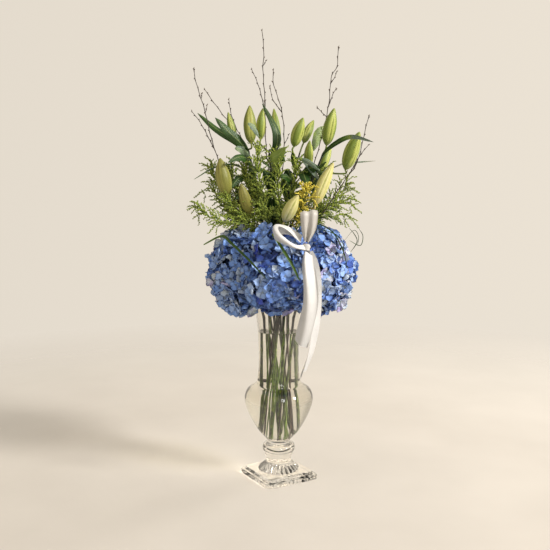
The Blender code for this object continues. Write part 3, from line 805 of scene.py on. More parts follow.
def hydrangea_line(index):
    azimuth = head_azimuth(index)
    leave_z = RIM_Z - 28
    waist, lean = HYDRANGEA_RING
    swing = math.atan2(lean * (SPREAD_Z - WAIST_Z), waist) - math.atan2(lean * (leave_z - WAIST_Z), waist)
    out = np.array([math.cos(math.radians(azimuth)), math.sin(math.radians(azimuth)), 0.0])
    upper = np.array([out * reach + [0, 0, RIM_Z + height] for reach, height in HEAD_BEND])
    return stem_route(HYDRANGEA_RING, azimuth + math.degrees(swing), HYDRANGEA_STEM / 2, leave_z, upper)[0]


def swollen(line, radius, joints, swell):
    """Radii along a stem that swell at its joints, given as shares of its length."""
    run = lengths_along(line)
    radii = np.full(len(line), radius)
    for joint in joints:
        radii += swell * np.exp(-(((run - joint * run[-1]) / 3.5) ** 2))
    return radii


def slant_foot(radius, around):
    """Extra slope for a slanting cut: the first ring of points leans."""
    level = np.zeros(around)
    return np.stack([level, level, 0.9 * radius * np.cos(full_turn(around))], axis=1)


def build_stem(name, line, radii, finish, node, tone=0.5, around=12):
    bunch = Bunch()
    line = curve_through(line, 2)
    radii = np.interp(np.linspace(0, 1, len(line)), np.linspace(0, 1, len(radii)), radii)
    add_tube(bunch, line, radii, around, tone)
    lean = slant_foot(radii[0], around)
    bunch.points[0][:around] += lean - lean.min(axis=0)
    return make_piece(name, bunch, [finish.material], [node])


stems = []
for index in range(HEAD_COUNT):
    line = hydrangea_line(index)
    radii = swollen(line, HYDRANGEA_STEM * 0.40, (0.18 + 0.03 * index, 0.46 + 0.02 * index, 0.74), 0.7)
    name = f"hydrangea_stem_{index + 1}"
    stems.append(build_stem(f"hydrangea_stalk_{index + 1}", line, radii, woody_stem, name))
tell("hydrangea stems", stems)

# %% [markdown]
# ## Petal finish
#
# What looks like a hydrangea's petal is a sepal, thin and softly veined. Its colour shifts
# from floret to floret: deep blue, sky blue, pale, and now and then lilac or greenish. The
# tone mark picks a colour from a ramp, the base fades to a pale eye, and the veins darken it
# slightly. A little sheen gives the soft edge light of a matt petal.


# %% Petal, eye and core materials
def petal_finish():
    finish = Finish("hydrangea sepal", Sheen_Weight=0.12, Sheen_Roughness=0.4, Specular_IOR_Level=0.35)
    marks = finish.group(PLANT_MARKS)
    blotch = finish.group(BLOTCHES, Scale=45.0, Fine_scale=500.0)
    colour = finish.ramp(
        finish.drift(blotch, 0.5, marks["Tone"]),
        (0.0, srgb(72, 94, 204)), (0.24, srgb(102, 140, 222)), (0.48, srgb(132, 172, 236)),
        (0.70, srgb(170, 200, 248)), (0.88, srgb(214, 226, 230)), (1.0, srgb(190, 182, 232)),
    )
    eye = finish.ramp(marks["Along"], (0.0, WHITE), (0.3, BLACK))
    colour = finish.tint(0.45, eye, colour, srgb(176, 192, 190))
    colour = finish.tint(0.15, finish.edges(marks["Across"], 4.0), colour, srgb(92, 112, 216))
    veins = finish.group(VEINS, Across=marks["Across"], Count=8.0, Sharpness=6.0)
    colour = finish.tint(0.16, veins["Vein"], colour, srgb(64, 94, 196))
    # The shade mark paints the deeper florets darker, as the shade between them.
    finish.shade(colour, marks, srgb(48, 58, 110))
    finish.set("Roughness", finish.math("MULTIPLY_ADD", blotch["Fine"], 0.2, 0.45))
    finish.bump(finish.math("MULTIPLY_ADD", veins["Vein"], -0.7, blotch["Fine"]), 0.00025, 0.5)
    return finish


def eye_finish():
    finish = Finish("hydrangea eye and stalk", Roughness=0.55)
    marks = finish.group(PLANT_MARKS)
    blotch = finish.group(BLOTCHES, Scale=150.0, Fine_scale=900.0)
    tone = finish.math("MULTIPLY_ADD", blotch["Blotch"], 0.4, marks["Tone"])
    colour = finish.ramp(
        tone, (0.1, srgb(96, 120, 96)), (0.6, srgb(112, 136, 190)), (1.0, srgb(210, 216, 200))
    )
    finish.set("Base Color", colour)
    finish.bump(blotch["Fine"], 0.0002)
    return finish


# The core is coloured dark navy: painted shade deep inside the head, between the florets.
def shade_core_finish():
    finish = Finish("hydrangea shade core", Roughness=0.8)
    blotch = finish.group(BLOTCHES, Scale=70.0, Fine_scale=260.0)
    finish.set("Base Color", finish.ramp(blotch["Blotch"], (0.35, srgb(16, 24, 40)), (0.7, srgb(36, 52, 96))))
    finish.bump(blotch["Fine"], 0.004, 0.8)
    return finish


petal, floret_eye, shade_core = petal_finish(), eye_finish(), shade_core_finish()
print("finishes:", petal.material.name, floret_eye.material.name, shade_core.material.name)

# %% [markdown]
# ## One sepal, made many times
#
# A sepal starts as a small grid: six rows along and five columns across. Its outline comes
# from a width at each row, and bending, cupping and a wavy rim give it life. The underside
# shares the outline's points and lies a little lower inside it, so that each sepal is a closed
# thin lens. The arithmetic runs on all sepals of a head at once, which keeps it fast.

# %% Sepal grid
SEPAL_ROWS = np.array([0.03, 0.22, 0.42, 0.62, 0.82, 1.0])
SEPAL_WIDTHS = np.array([0.20, 0.66, 0.97, 1.0, 0.74, 0.14])
SEPAL_COLUMNS = np.array([-1.0, -0.5, 0.0, 0.5, 1.0])
SEPAL_THICKNESS = 0.4


def lens_faces(rows, columns):
    """Faces of a grid's top, and of an underside that shares the grid's border points."""
    top = np.arange(rows * columns).reshape(rows, columns)
    under = top.copy()
    inner = np.arange((rows - 2) * (columns - 2)).reshape(rows - 2, columns - 2)
    under[1:-1, 1:-1] = inner + rows * columns
    faces = []
    for grid, flip in ((top, 1), (under, -1)):
        for r in range(rows - 1):
            for c in range(columns - 1):
                face = [grid[r, c], grid[r, c + 1], grid[r + 1, c + 1], grid[r + 1, c]]
                faces.append(face[::flip])
    return np.array(faces)


SEPAL_FACES = lens_faces(len(SEPAL_ROWS), len(SEPAL_COLUMNS))


def sepals(count, length, width, bend, cup, wave, phase):
    """The points of many sepals, each from the origin along Y with its face up."""
    u, v = SEPAL_ROWS[None, :, None], SEPAL_COLUMNS[None, None, :]
    given = (length, width, bend, cup, wave, phase)
    length, width, bend, cup, wave, phase = (np.reshape(values, (-1, 1, 1)) for values in given)
    half = width / 2 * SEPAL_WIDTHS[None, :, None]
    x = half * v
    y = length * (u - 0.10 * u * u * v * v)
    z = length * bend * u * u + cup * half * v * v - 0.03 * length * (1 - np.abs(v)) * u
    z = z + wave * length * np.sin(2.6 * math.pi * u + phase + 1.5 * v) * v * v * u
    top = np.stack(np.broadcast_arrays(x, y, z), axis=-1)
    under = top[:, 1:-1, 1:-1].reshape(count, -1, 3) - [0, 0, SEPAL_THICKNESS]
    return np.concatenate([top.reshape(count, -1, 3), under], axis=1)


def sepal_marks(tones, shades):
    u, v = np.meshgrid(SEPAL_ROWS, (SEPAL_COLUMNS + 1) / 2, indexing="ij")
    u = np.concatenate([u.ravel(), u[1:-1, 1:-1].ravel()])
    v = np.concatenate([v.ravel(), v[1:-1, 1:-1].ravel()])
    return marks_for(u[None], v[None], np.reshape(tones, (-1, 1)), np.reshape(shades, (-1, 1)))


print("one sepal:", len(SEPAL_FACES), "faces")

# %% [markdown]
# ## A hydrangea head
#
# A mophead is a dome of stalks that all end in a four-sepalled floret. Here rays go out evenly
# from the head's middle to the imported model's surface. Each ray that meets the outer side gets
# a floret, facing out with some random tilt, on a thin stalk from a core painted dark as shade.
# A second, deeper layer closes the gaps, as in the real head, and is painted darker as shade.
# Florets sink where a ribbon or a grass blade lies over them.

# %% Head sizes, and what lies over the heads
HEAD_REACH = 86.0
HEAD_LIFT = 79.0
# Half size outward, half height, and steps outward and up from HEAD_REACH and HEAD_LIFT.
HEAD_SHAPES = (
    (80.0, 97.0, 0.0, 1.0),
    (82.0, 98.0, 3.0, 0.0),
    (76.0, 90.0, -4.0, 0.0),
    (76.0, 90.0, -4.0, 2.0),
    (72.0, 97.0, 0.0, -2.0),
)
HEAD_ACROSS = 88.0  # half size sideways
HEAD_TONES = (0.45, 0.63, 0.50, 0.48, 0.62)
# Points along each blade, and the direction across it.
GRASS_BLADES = (
    ([(-158, -104, 143), (-118, -128, 162), (-96, -160, 150), (-60, -182, 118), (-23, -190, 78)],
     (0.2, 0.5, 0.8)),
    ([(-14, -138, 168), (6, -168, 140), (26, -182, 108), (42, -180, 74)], (0.8, 0.3, 0.5)),
    ([(54, -70, 186), (84, -98, 186), (112, -128, 168), (132, -138, 130), (140, -140, 96)], (0.3, 0.9, 0.3)),
    ([(150, -74, 150), (172, -84, 140), (178, -82, 160), (170, -72, 176)], (0.2, 0.9, 0.2)),
)
# Points along each length, the direction across it, how far it is open from end to end, and
# how it is held.
RIBBON_PIECES = {
    "ribbon_loop_upper": ([(56, -146, 152), (60, -154, 178), (61, -157, 207), (59, -147, 213),
                           (56, -137, 182), (54, -138, 154)], (1, 0, 0),
                          (0.3, 0.78, 0.93, 0.93, 0.7, 0.3), "gathered"),
    "ribbon_loop_left": ([(45, -150, 144), (22, -165, 147), (-1, -174, 162), (-5, -164, 174), (18, -151, 169),
                          (42, -141, 152)], (0.3, 0.65, -0.7), (0.3, 0.5, 0.6, 0.6, 0.45, 0.3), "gathered"),
    "ribbon_tail_front": ([(57, -152, 128), (57, -164, 112), (60, -176, 90), (63, -182, 58), (62, -181, 26),
                           (54, -174, -14), (44, -160, -58)], (0.92, -0.3, 0.0),
                          (0.5, 0.68, 0.75, 0.8, 0.84, 0.86, 0.8), "hung"),
    "ribbon_tail_back": ([(66, -141, 134), (71, -147, 114), (74, -151, 84), (75, -153, 56), (76, -152, 10),
                          (74, -149, -34), (66, -144, -80), (51, -136, -128)], (0.45, 0.88, 0.1),
                         (0.3, 0.55, 0.78, 0.9, 0.94, 0.94, 0.94, 0.9), "hung"),
}
KNOT = (55, -142, 140)
covered = [curve_through(above_rim(points), 6) for points, _ in GRASS_BLADES]
covered += [curve_through(above_rim(points), 6) for points, *_ in RIBBON_PIECES.values()]
covered.append(above_rim([KNOT]))
covered = np.vstack(covered)
print("florets make room for", len(covered), "points")


# %% Hydrangea heads
def even_directions(count, turn):
    """Directions spread evenly over a sphere."""
    i = np.arange(count) + 0.5
    z = 1 - 2 * i / count
    angle = math.pi * (1 + 5**0.5) * i + turn
    flat = np.sqrt(1 - z * z)
    return np.stack([flat * np.cos(angle), flat * np.sin(angle), z], axis=1)


def head_frame(index):
    """Middle, outward and sideways of a head, and its half sizes."""
    turn = math.radians(head_azimuth(index))
    radial, upright, more_reach, more_lift = HEAD_SHAPES[index]
    out = np.array([math.cos(turn), math.sin(turn), 0.0])
    side = np.array([-out[1], out[0], 0.0])
    middle = out * (HEAD_REACH + more_reach) + [0, 0, RIM_Z + HEAD_LIFT + more_lift]
    return middle, out, side, (radial, HEAD_ACROSS, upright)


def surface_spots(index, count, turn):
    """Where rays from a head's middle meet its outer side, and the way out there."""
    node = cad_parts[f"hydrangea_head_{index + 1}"].data
    tree = BVHTree.FromPolygons([v.co for v in node.vertices], [p.vertices for p in node.polygons])
    middle, out, side, halves = head_frame(index)
    spots, ways = [], []
    for ray in even_directions(count, turn):
        ray = ray * halves
        way = unit(out * ray[0] + side * ray[1] + np.array([0, 0, ray[2]]))
        spot, normal, _, _ = tree.ray_cast(Vector(middle * MM), Vector(way))
        local = np.array([way @ out, way @ side, way[2]]) / np.square(halves)
        egg = unit(out * local[0] + side * local[1] + np.array([0, 0, local[2]]))
        if spot is not None and np.array(normal) @ egg > 0.6:
            spots.append(np.array(spot) / MM)
            ways.append(egg)
    return np.array(spots), np.array(ways)


def add_florets(bunch, spots, ways, middle, draw, tone, size, sink, dim, tilt):
    """Four sepals, an eye and a stalk at each spot."""
    count = len(spots)
    gap = np.linalg.norm(spots[:, None] - covered[None], axis=2).min(axis=1)
    near = np.clip(1 - gap / 24, 0, 1)
    face = unit(ways + draw.normal(0, tilt, (count, 3)) * (1 - 0.7 * near[:, None]))
    depth = sink + draw.uniform(-2.5, 5.5, count) + 2.5 * near
    spots = spots - ways * depth[:, None] + draw.normal(0, 2.0, (count, 3)) * (1 - near[:, None])
    helper = unit(draw.normal(0, 1, (count, 3)))
    right = unit(np.cross(helper, face))
    up = np.cross(face, right)
    scale = size * draw.uniform(0.86, 1.16, count)
    shades = np.clip(dim * draw.uniform(0.88, 1.05, count), 0, 1)
    for k in range(4):
        lift = (k % 2) * 0.5
        rise = np.radians(draw.uniform(0, 38, count) * (1 - 0.5 * near))
        spin_z = math.pi / 2 * k + draw.normal(0, 0.10, count)
        length = scale * draw.uniform(0.92, 1.08, count)
        width = length * draw.uniform(0.98, 1.2, count)
        bend = draw.uniform(-0.36, 0.22, count)
        cup = draw.uniform(0.0, 0.6, count)
        wave = draw.uniform(0.04, 0.18, count)
        phase = draw.uniform(0, 6.28, count)
        shape = sepals(count, length, width, bend, cup, wave, phase)
        x, y, z = shape[..., 0], shape[..., 1], shape[..., 2]
        y, z = turned(y, z, rise[:, None])
        z = z + lift
        x, y = turned(x, y, spin_z[:, None])
        points = spots[:, None] + right[:, None] * x[..., None] + up[:, None] * y[..., None]
        points = points + face[:, None] * z[..., None]
        faces = repeat_faces(SEPAL_FACES, count, shape.shape[1])
        tones = np.clip(tone + draw.normal(0, 0.05, count), 0, 1)
        bunch.add(points, faces, sepal_marks(tones, shades))
    add_beads(bunch, spots - face * 0.4, face, 2.6, 1.3, draw.uniform(0.2, 0.9, count), dim, 1)
    root = spots + unit(middle - spots) * 22
    for spot, end in zip(spots, root):
        line = np.linspace(spot, end, 3)
        add_tube(bunch, line, 0.6, 4, 0.1, dim * 0.8, 1)


# For each layer: size, how deep it is sunk, its shade mark, which paints the deeper layer darker as shade,
# and how much florets tilt.
OUTER_FLORETS = (17.0, 8.5, 1.0, 0.5)
INNER_FLORETS = (15.0, 18.0, 0.42, 0.25)
CORE_SHARE = 0.70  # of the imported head's size


def build_head(index, outer=235, inner=160):
    draw = np.random.default_rng(40 + index)
    name = f"hydrangea_head_{index + 1}"
    middle = head_frame(index)[0]
    bunch = Bunch()
    spots, ways = surface_spots(index, outer, 0.7 * index)
    if index == 0:
        # This head has a crest, and its lowest florets sit higher.
        crest = np.clip((spots[:, 2] - RIM_Z - 120) / 50, 0, 1)
        spots[:, 2] += 24 * np.exp(-(((spots[:, 0] + 44) / 24) ** 2)) * crest
        spots[:, 2] += 14 * np.clip((RIM_Z + 60 - spots[:, 2]) / 60, 0, 1)
    patch = np.sin(spots[:, 0] * 0.045 + index) * np.cos(spots[:, 2] * 0.06 - index) * 0.16
    tone = np.clip(HEAD_TONES[index] + patch + draw.normal(0, 0.19, len(spots)), 0.02, 0.98)
    add_florets(bunch, spots, ways, middle, draw, tone, *OUTER_FLORETS)
    # The deeper layer takes a lower, deeper blue tone and a low shade mark: painted shade.
    spots, ways = surface_spots(index, inner, 0.7 * index + 2)
    tone = np.full(len(spots), HEAD_TONES[index] - 0.2)
    add_florets(bunch, spots, ways, middle, draw, tone, *INNER_FLORETS)
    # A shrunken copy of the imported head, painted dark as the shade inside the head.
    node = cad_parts[name].data
    corners = np.array([v.co for v in node.vertices]) / MM
    start = bunch.count
    bunch.add(middle + (corners - middle) * CORE_SHARE, np.zeros((0, 3), int), PLAIN_MARKS)
    for polygon in node.polygons:
        bunch.faces.append([start + corner for corner in polygon.vertices])
        bunch.finishes.append(2)
    finishes = [petal.material, floret_eye.material, shade_core.material]
    return make_piece(f"hydrangea_bloom_{index + 1}", bunch, finishes, [name])


heads = [build_head(index) for index in range(HEAD_COUNT)]
tell("hydrangea heads", heads)

# %% [markdown]
# ## Lily stems, buds and leaves
#
# Four lily stems stand in the innermost ring. Each bud hangs on a short stalk: three outer
# tepals meet at pale seams, and each carries a thick green midrib. A leaf is a long blade with
# a channelled midrib, parallel veins and a slightly wavy rim.

# %% Lily tables
LILY_STEM = 7.0
BUD, CREAM_BUD = "green_bud", "cream_bud"
# Stems: where each leaves the bundle and its upper points, X, Y and height above the rim.
LILIES = {
    1: (180, [(-40, 0, 245), (-68, -4, 345)]),
    2: (95, [(-12, 22, 255), (-22, 16, 345)]),
    3: (275, [(20, -15, 245), (46, 6, 338)]),
    4: (5, [(56, 4, 235), (98, 4, 338)]),
}
# Buds: stem, share along it, base and tip, width, finish.
BUDS = (
    (1, 0.97, (-96, 30, 364), (-113, 30, 430), 17, BUD),
    (1, 1.0, (-60, -20, 357), (-63, -20, 439), 27, BUD),
    (2, 0.97, (-40, 0, 367), (-35, 0, 435), 21, BUD),
    (2, 1.0, (1, 50, 366), (-11, 60, 441), 18, BUD),
    (3, 0.90, (32, -30, 350), (52, -40, 411), 26, BUD),
    (3, 1.0, (56, 50, 363), (80, 70, 416), 20, BUD),
    (4, 1.0, (104, -10, 354), (120, -20, 433), 28, BUD),
    (4, 0.80, (145, -20, 301), (173, -40, 381), 32, BUD),
    (1, 0.40, (-110, -40, 242), (-126, -50, 325), 33, BUD),
    (1, 0.22, (-61, -34, 204), (-81, -62, 270), 26, BUD),
    (3, 0.12, (11, -76, 190), (40, -106, 246), 27, CREAM_BUD),
    (4, 0.45, (78, -50, 225), (115, -70, 314), 26, CREAM_BUD),
    (4, 0.62, (96, 50, 298), (120, 70, 360), 20, BUD),
    (3, 0.75, (66, -4, 303), (67, -22, 364), 20, BUD),
)
# Leaves: stem, share along it, points, width, the direction across the blade, and the tone
# of its lower and its outer part.
LEAVES = (
    (1, 0.92, [(-92, 0, 360), (-141, 10, 393), (-180, 20, 427)], 16, (0.6, 0.2, 0.8), 0.18, 0.18),
    (1, 0.88, [(-80, -16, 355), (-106, -30, 379), (-136, -42, 411)], 24, (0.6, 0.1, 0.8), 0.12, 0.12),
    (1, 0.70, [(-94, -12, 312), (-137, -32, 307), (-183, -45, 280)], 9, (0, 1, 0.3), 0.16, 0.16),
    (1, 0.62, [(-62, -24, 316), (-83, -50, 327), (-108, -70, 315)], 18, (0.4, 0.9, 0), 0.12, 0.12),
    (2, 0.90, [(-6, -8, 352), (-6, -10, 387), (-36, 0, 445)], 21, (1, 0.1, 0), 0.10, 0.10),
    (3, 0.55, [(-12, -52, 317), (0, -66, 332), (14, -80, 346)], 22, (0.7, 0.1, -0.7), 0.66, 0.66),
    (4, 0.96, [(112, -28, 350), (151, -64, 369), (198, -78, 357)], 11, (-0.5, 0.3, 0.8), 0.14, 0.9),
    (4, 0.75, [(140, 6, 314), (176, 8, 318), (216, 20, 322)], 7, (0, 0.9, 0.4), 0.97, 0.97),
    (3, 0.70, [(52, -26, 318), (68, -46, 302), (87, -62, 276)], 15, (0.5, 0.5, 0.5), 0.90, 0.90),
)
print(len(LILIES), "lily stems,", len(BUDS), "buds,", len(LEAVES), "leaves")


# %% Bud and leaf materials
def bud_finish(name, seam, flesh, midrib, base):
    """Seams, flesh and midribs across a bud, and a darker base and stalk."""
    finish = Finish(name, Roughness=0.42, Sheen_Weight=0.1, Sheen_Roughness=0.5, Specular_IOR_Level=0.4)
    marks = finish.group(PLANT_MARKS)
    blotch = finish.group(BLOTCHES, Scale=60.0, Fine_scale=800.0)
    place = finish.drift(blotch, 0.35, marks["Across"])
    colour = finish.ramp(place, (0.03, seam[0]), (0.16, seam[1]), (0.5, flesh), (0.62, midrib), (1.0, midrib))
    ends = finish.ramp(marks["Along"], (0.02, WHITE), (0.34, BLACK), (0.86, BLACK), (1.0, GREY))
    colour = finish.tint(0.85, ends, colour, base)
    veins = finish.group(VEINS, Across=marks["Across"], Count=7.0, Sharpness=5.0)
    colour = finish.tint(0.22, veins["Vein"], colour, midrib)
    # The tone mark tints a bud brown: browning on some buds, painted shade on others.
    finish.set("Base Color", finish.tint(0.8, marks["Tone"], colour, srgb(132, 104, 58)))
    finish.bump(finish.math("MULTIPLY_ADD", veins["Vein"], -0.6, blotch["Fine"]), 0.0004, 0.5)
    return finish


green_bud = bud_finish("green lily bud", (srgb(126, 136, 52), srgb(194, 200, 108)), srgb(156, 168, 74),
                       srgb(118, 136, 50), srgb(100, 120, 44))
cream_bud = bud_finish("cream lily bud", (srgb(186, 188, 106), srgb(232, 228, 162)), srgb(228, 220, 154),
                       srgb(208, 204, 128), srgb(194, 174, 108))


def leaf_finish():
    """Deep green to glaucous blades with parallel veins and a paler midrib."""
    finish = Finish("lily leaf", Roughness=0.38, Specular_IOR_Level=0.45)
    marks = finish.group(PLANT_MARKS)
    blotch = finish.group(BLOTCHES, Scale=50.0, Fine_scale=600.0)
    tone = finish.drift(blotch, 0.25, marks["Tone"])
    colour = finish.ramp(tone, (0.0, srgb(36, 66, 22)), (0.25, srgb(58, 94, 30)), (0.5, srgb(96, 132, 48)),
                         (0.72, srgb(146, 166, 76)), (0.88, srgb(112, 132, 118)), (1.0, srgb(138, 140, 122)))
    veins = finish.group(VEINS, Across=marks["Across"], Count=11.0, Sharpness=3.0)
    colour = finish.tint(0.3, veins["Vein"], colour, srgb(34, 58, 20))
    off_middle = finish.math("ABSOLUTE", finish.math("SUBTRACT", marks["Across"], 0.5))
    rib = finish.ramp(off_middle, (0.0, WHITE), (0.07, BLACK))
    colour = finish.tint(0.35, rib, colour, srgb(176, 190, 110))
    finish.shade(colour, marks, srgb(40, 50, 30))
    finish.bump(finish.math("MULTIPLY_ADD", veins["Vein"], -0.8, blotch["Fine"]), 0.0005, 0.6)
    return finish


lily_leaf = leaf_finish()
print("finishes:", green_bud.material.name, cream_bud.material.name, lily_leaf.material.name)


# %% Lily stems
def lily_line(index):
    azimuth, upper = LILIES[index]
    return stem_route(LILY_RING, azimuth, LILY_STEM / 2, SPREAD_Z, above_rim(upper))


def stem_start(index, share, towards, room=1.2):
    """A start in the side of a lily stem, at a share of its free part, facing a point."""
    line, low = lily_line(index)
    upper = line[low:]
    start = points_at(upper, np.arange(len(upper)), share * (len(upper) - 1))
    return start + unit(towards - start) * room


lily_stems = []
for index in LILIES:
    line, low = lily_line(index)
    shares = np.linspace(0, 1, len(line))
    radii = np.interp(shares, [0, 0.55, 1], [LILY_STEM * 0.4, LILY_STEM * 0.38, LILY_STEM * 0.26])
    for scar in np.arange(0.3, 0.98, 0.045) + 0.006 * index:
        radii = radii + 0.45 * np.exp(-(((shares - scar) * 260) ** 2))
    names = (f"lily_stalk_{index}", f"lily_stem_{index}")
    lily_stems.append(build_stem(names[0], line, radii, green_stem, names[1], 0.5, 16))
tell("lily stems", lily_stems)

# %% Buds
BUD_PROFILE = curve_through([(0, 0.12, 0), (0.05, 0.42, 0), (0.16, 0.78, 0), (0.34, 0.97, 0), (0.52, 0.99, 0),
                             (0.70, 0.82, 0), (0.86, 0.50, 0), (0.96, 0.24, 0), (1.0, 0.06, 0)], 4)
BUD_AROUND = 36
STALK_RADIUS = 1.9
# Brown tint by bud: bud 10 is browning; on buds 2 and 9, on the shaded left, it is partly their olive colour
# and partly painted shade.
BROWN_AND_SHADE = {2: 0.28, 9: 0.5, 10: 0.6}  # how brown these buds are


def build_bud(number, owner, share, base, tip, width, slot):
    base, tip = above_rim(base), above_rim(tip)
    start = stem_start(owner, share, base)
    axis = unit(tip - base)
    reach = 0.45 * np.linalg.norm(base - start)
    stalk = curve_through([start, base - axis * min(reach, 9.0), base], 5)
    length = np.linalg.norm(tip - base)
    bow = np.cross(axis, [0.3, 1.0, 0.2])
    u = BUD_PROFILE[:, 0]
    body = base + axis * length * u[:, None] + bow * (0.02 * length * np.sin(math.pi * u))[:, None]
    line = np.vstack([stalk[:-1], body])
    turn = full_turn(BUD_AROUND) + 0.9 * number
    across = 1 - np.abs((turn * 1.5 / math.pi) % 1 - 0.5) * 2
    fade = np.sin(math.pi * np.clip(u * 0.94 + 0.03, 0, 1))[:, None] ** 0.5
    groove = 0.15 * np.exp(-((across / 0.10) ** 2))
    rib = 0.06 / (1 + np.exp(-(across - 0.55) / 0.04)) - 0.03 * np.exp(-(((across - 0.47) / 0.07) ** 2))
    grooved = BUD_PROFILE[:, 1:2] * (1 + fade * (rib - groove)[None]) * width / 2
    neck = np.linspace(STALK_RADIUS, max(STALK_RADIUS, grooved[0].mean()), len(stalk) - 1)
    radius = np.vstack([neck[:, None] * np.ones(BUD_AROUND), np.maximum(grooved, 0.3)])
    _, side, out = frames_along(line, (0.4, 0.9, 0.1))
    rings = line[:, None] + spokes(side, out, turn) * radius[..., None]
    along = np.concatenate([np.zeros(len(stalk) - 1), 0.04 + 0.96 * u])[:, None]
    bunch = Bunch()
    add_loft(bunch, rings, marks_for(along, across[None], BROWN_AND_SHADE.get(number, 0.0)))
    finish = green_bud if slot == BUD else cream_bud
    return make_piece(f"lily_tepals_{number}", bunch, [finish.material], [f"lily_bud_{number}"])


buds = [build_bud(number, *row) for number, row in enumerate(BUDS, 1)]
tell("lily buds", buds)


# %% Leaves
def add_blade(bunch, line, across, width, thickness, shape, tone, trough, wave, twist, finish=0):
    """A closed blade along a line: a channelled top, a thin underside, and a wavy rim."""
    _, side, out = frames_along(line, across)
    u = np.linspace(0, 1, len(line))[:, None]
    out, side = turned(out[:, None], side[:, None], (twist * u)[..., None])
    v = np.array([-1.0, -0.75, -0.45, -0.18, 0.0, 0.18, 0.45, 0.75, 1.0])
    inner = v[1:-1]
    half = width / 2 * np.interp(u, *shape)
    rise = trough * width * (v**2 - 0.25) * np.sin(math.pi * np.clip(u * 0.9 + 0.05, 0, 1))
    rise = rise + wave * width * np.sin(u * 17 + 2 * np.sign(v)) * np.abs(v) ** 3
    top = side * (half * v)[..., None] + out * rise[..., None]
    depth = thickness * (1.0 - 0.6 * inner**2 + 0.9 * np.exp(-((inner / 0.12) ** 2)))
    drop = rise[:, 1:-1] - depth * np.minimum(half / 3, 1)
    under = side * (half * inner)[..., None] + out * drop[..., None]
    rings = line[:, None] + np.concatenate([top, under[:, ::-1]], axis=1)
    across_marks = np.concatenate([(v + 1) / 2, ((inner + 1) / 2)[::-1]])[None]
    add_loft(bunch, rings, marks_for(u, across_marks, tone, 1.0), finish=finish)


LEAF_SHAPE = ((0.0, 0.08, 0.25, 0.5, 0.75, 0.92, 1.0), (0.18, 0.34, 0.74, 1.0, 0.82, 0.4, 0.04))
leaves = []
for number, (owner, share, points, width, across, tone, tip_tone) in enumerate(LEAVES, 1):
    points = above_rim(points)
    line = curve_through(np.vstack([[stem_start(owner, share, points[0])], points]), 9)
    line = curve_through(line[::3], 3)
    tones = np.interp(np.linspace(0, 1, len(line)), (0.5, 0.7), (tone, tip_tone))
    bunch = Bunch()
    add_blade(bunch, line, across, width, 0.55, LEAF_SHAPE, tones[:, None], 0.18, 0.035, 0.25)
    names = (f"lily_blade_{number}", [f"lily_leaf_{number}"])
    leaves.append(make_piece(names[0], bunch, [lily_leaf.material], names[1], 50))
tell("lily leaves", leaves)


# %% Small leaves up the lily stems
def leaf_line(start, way, length, droop):
    """A leaf's line that leaves along a way and bends down."""
    s = np.linspace(0, 1, 9)[:, None]
    return start + way * length * s + np.array([0, 0, -droop * length]) * s * s


# Short leaves by stem: both ends, width and tone.
SHORT_LEAVES = {
    1: [((-60, -20, 327), (-94, -50, 346), 20, 0.86), ((-43, -50, 369), (-66, -60, 398), 14, 0.88),
        ((-70, -14, 290), (-104, -44, 262), 17, 0.10), ((-56, -20, 250), (-92, -60, 240), 16, 0.06),
        ((-60, 10, 270), (-34, 26, 206), 24, 0.04), ((-88, 0, 250), (-64, 20, 190), 23, 0.05),
        ((-100, 6, 214), (-70, 10, 168), 21, 0.06), ((-62, 6, 300), (-52, 24, 244), 20, 0.06)],
    2: [((-17, -10, 330), (12, -60, 318), 18, 0.12), ((-30, 4, 300), (-66, -44, 296), 17, 0.10),
        ((-10, 0, 262), (22, -52, 268), 17, 0.06), ((-20, 14, 256), (-40, 30, 186), 26, 0.03),
        ((-8, 10, 240), (6, 30, 180), 25, 0.05), ((-34, 10, 304), (-14, 26, 246), 22, 0.06),
        ((-2, 6, 300), (-26, 24, 262), 20, 0.05), ((-16, 14, 238), (-10, 30, 156), 30, 0.03),
        ((16, 12, 302), (14, 26, 236), 20, 0.05)],
    3: [((34, -20, 329), (87, -70, 297), 12, 0.88), ((44, -20, 290), (84, -66, 304), 24, 0.04),
        ((46, -20, 300), (60, -70, 268), 22, 0.02), ((34, -16, 270), (4, -66, 286), 18, 0.10),
        ((30, -20, 250), (64, -60, 244), 18, 0.05), ((30, 4, 260), (22, 26, 190), 26, 0.04),
        ((46, 10, 250), (58, 26, 190), 25, 0.05), ((18, 0, 304), (34, 22, 250), 22, 0.05),
        ((52, -20, 286), (84, -52, 300), 22, 0.03)],
    4: [((76, 14, 344), (101, 34, 400), 24, 0.78), ((84, -6, 300), (112, -50, 270), 17, 0.08),
        ((70, -10, 262), (104, -50, 238), 15, 0.06), ((82, 10, 250), (94, 26, 186), 23, 0.05),
        ((70, 6, 294), (88, 24, 240), 22, 0.05)],
}


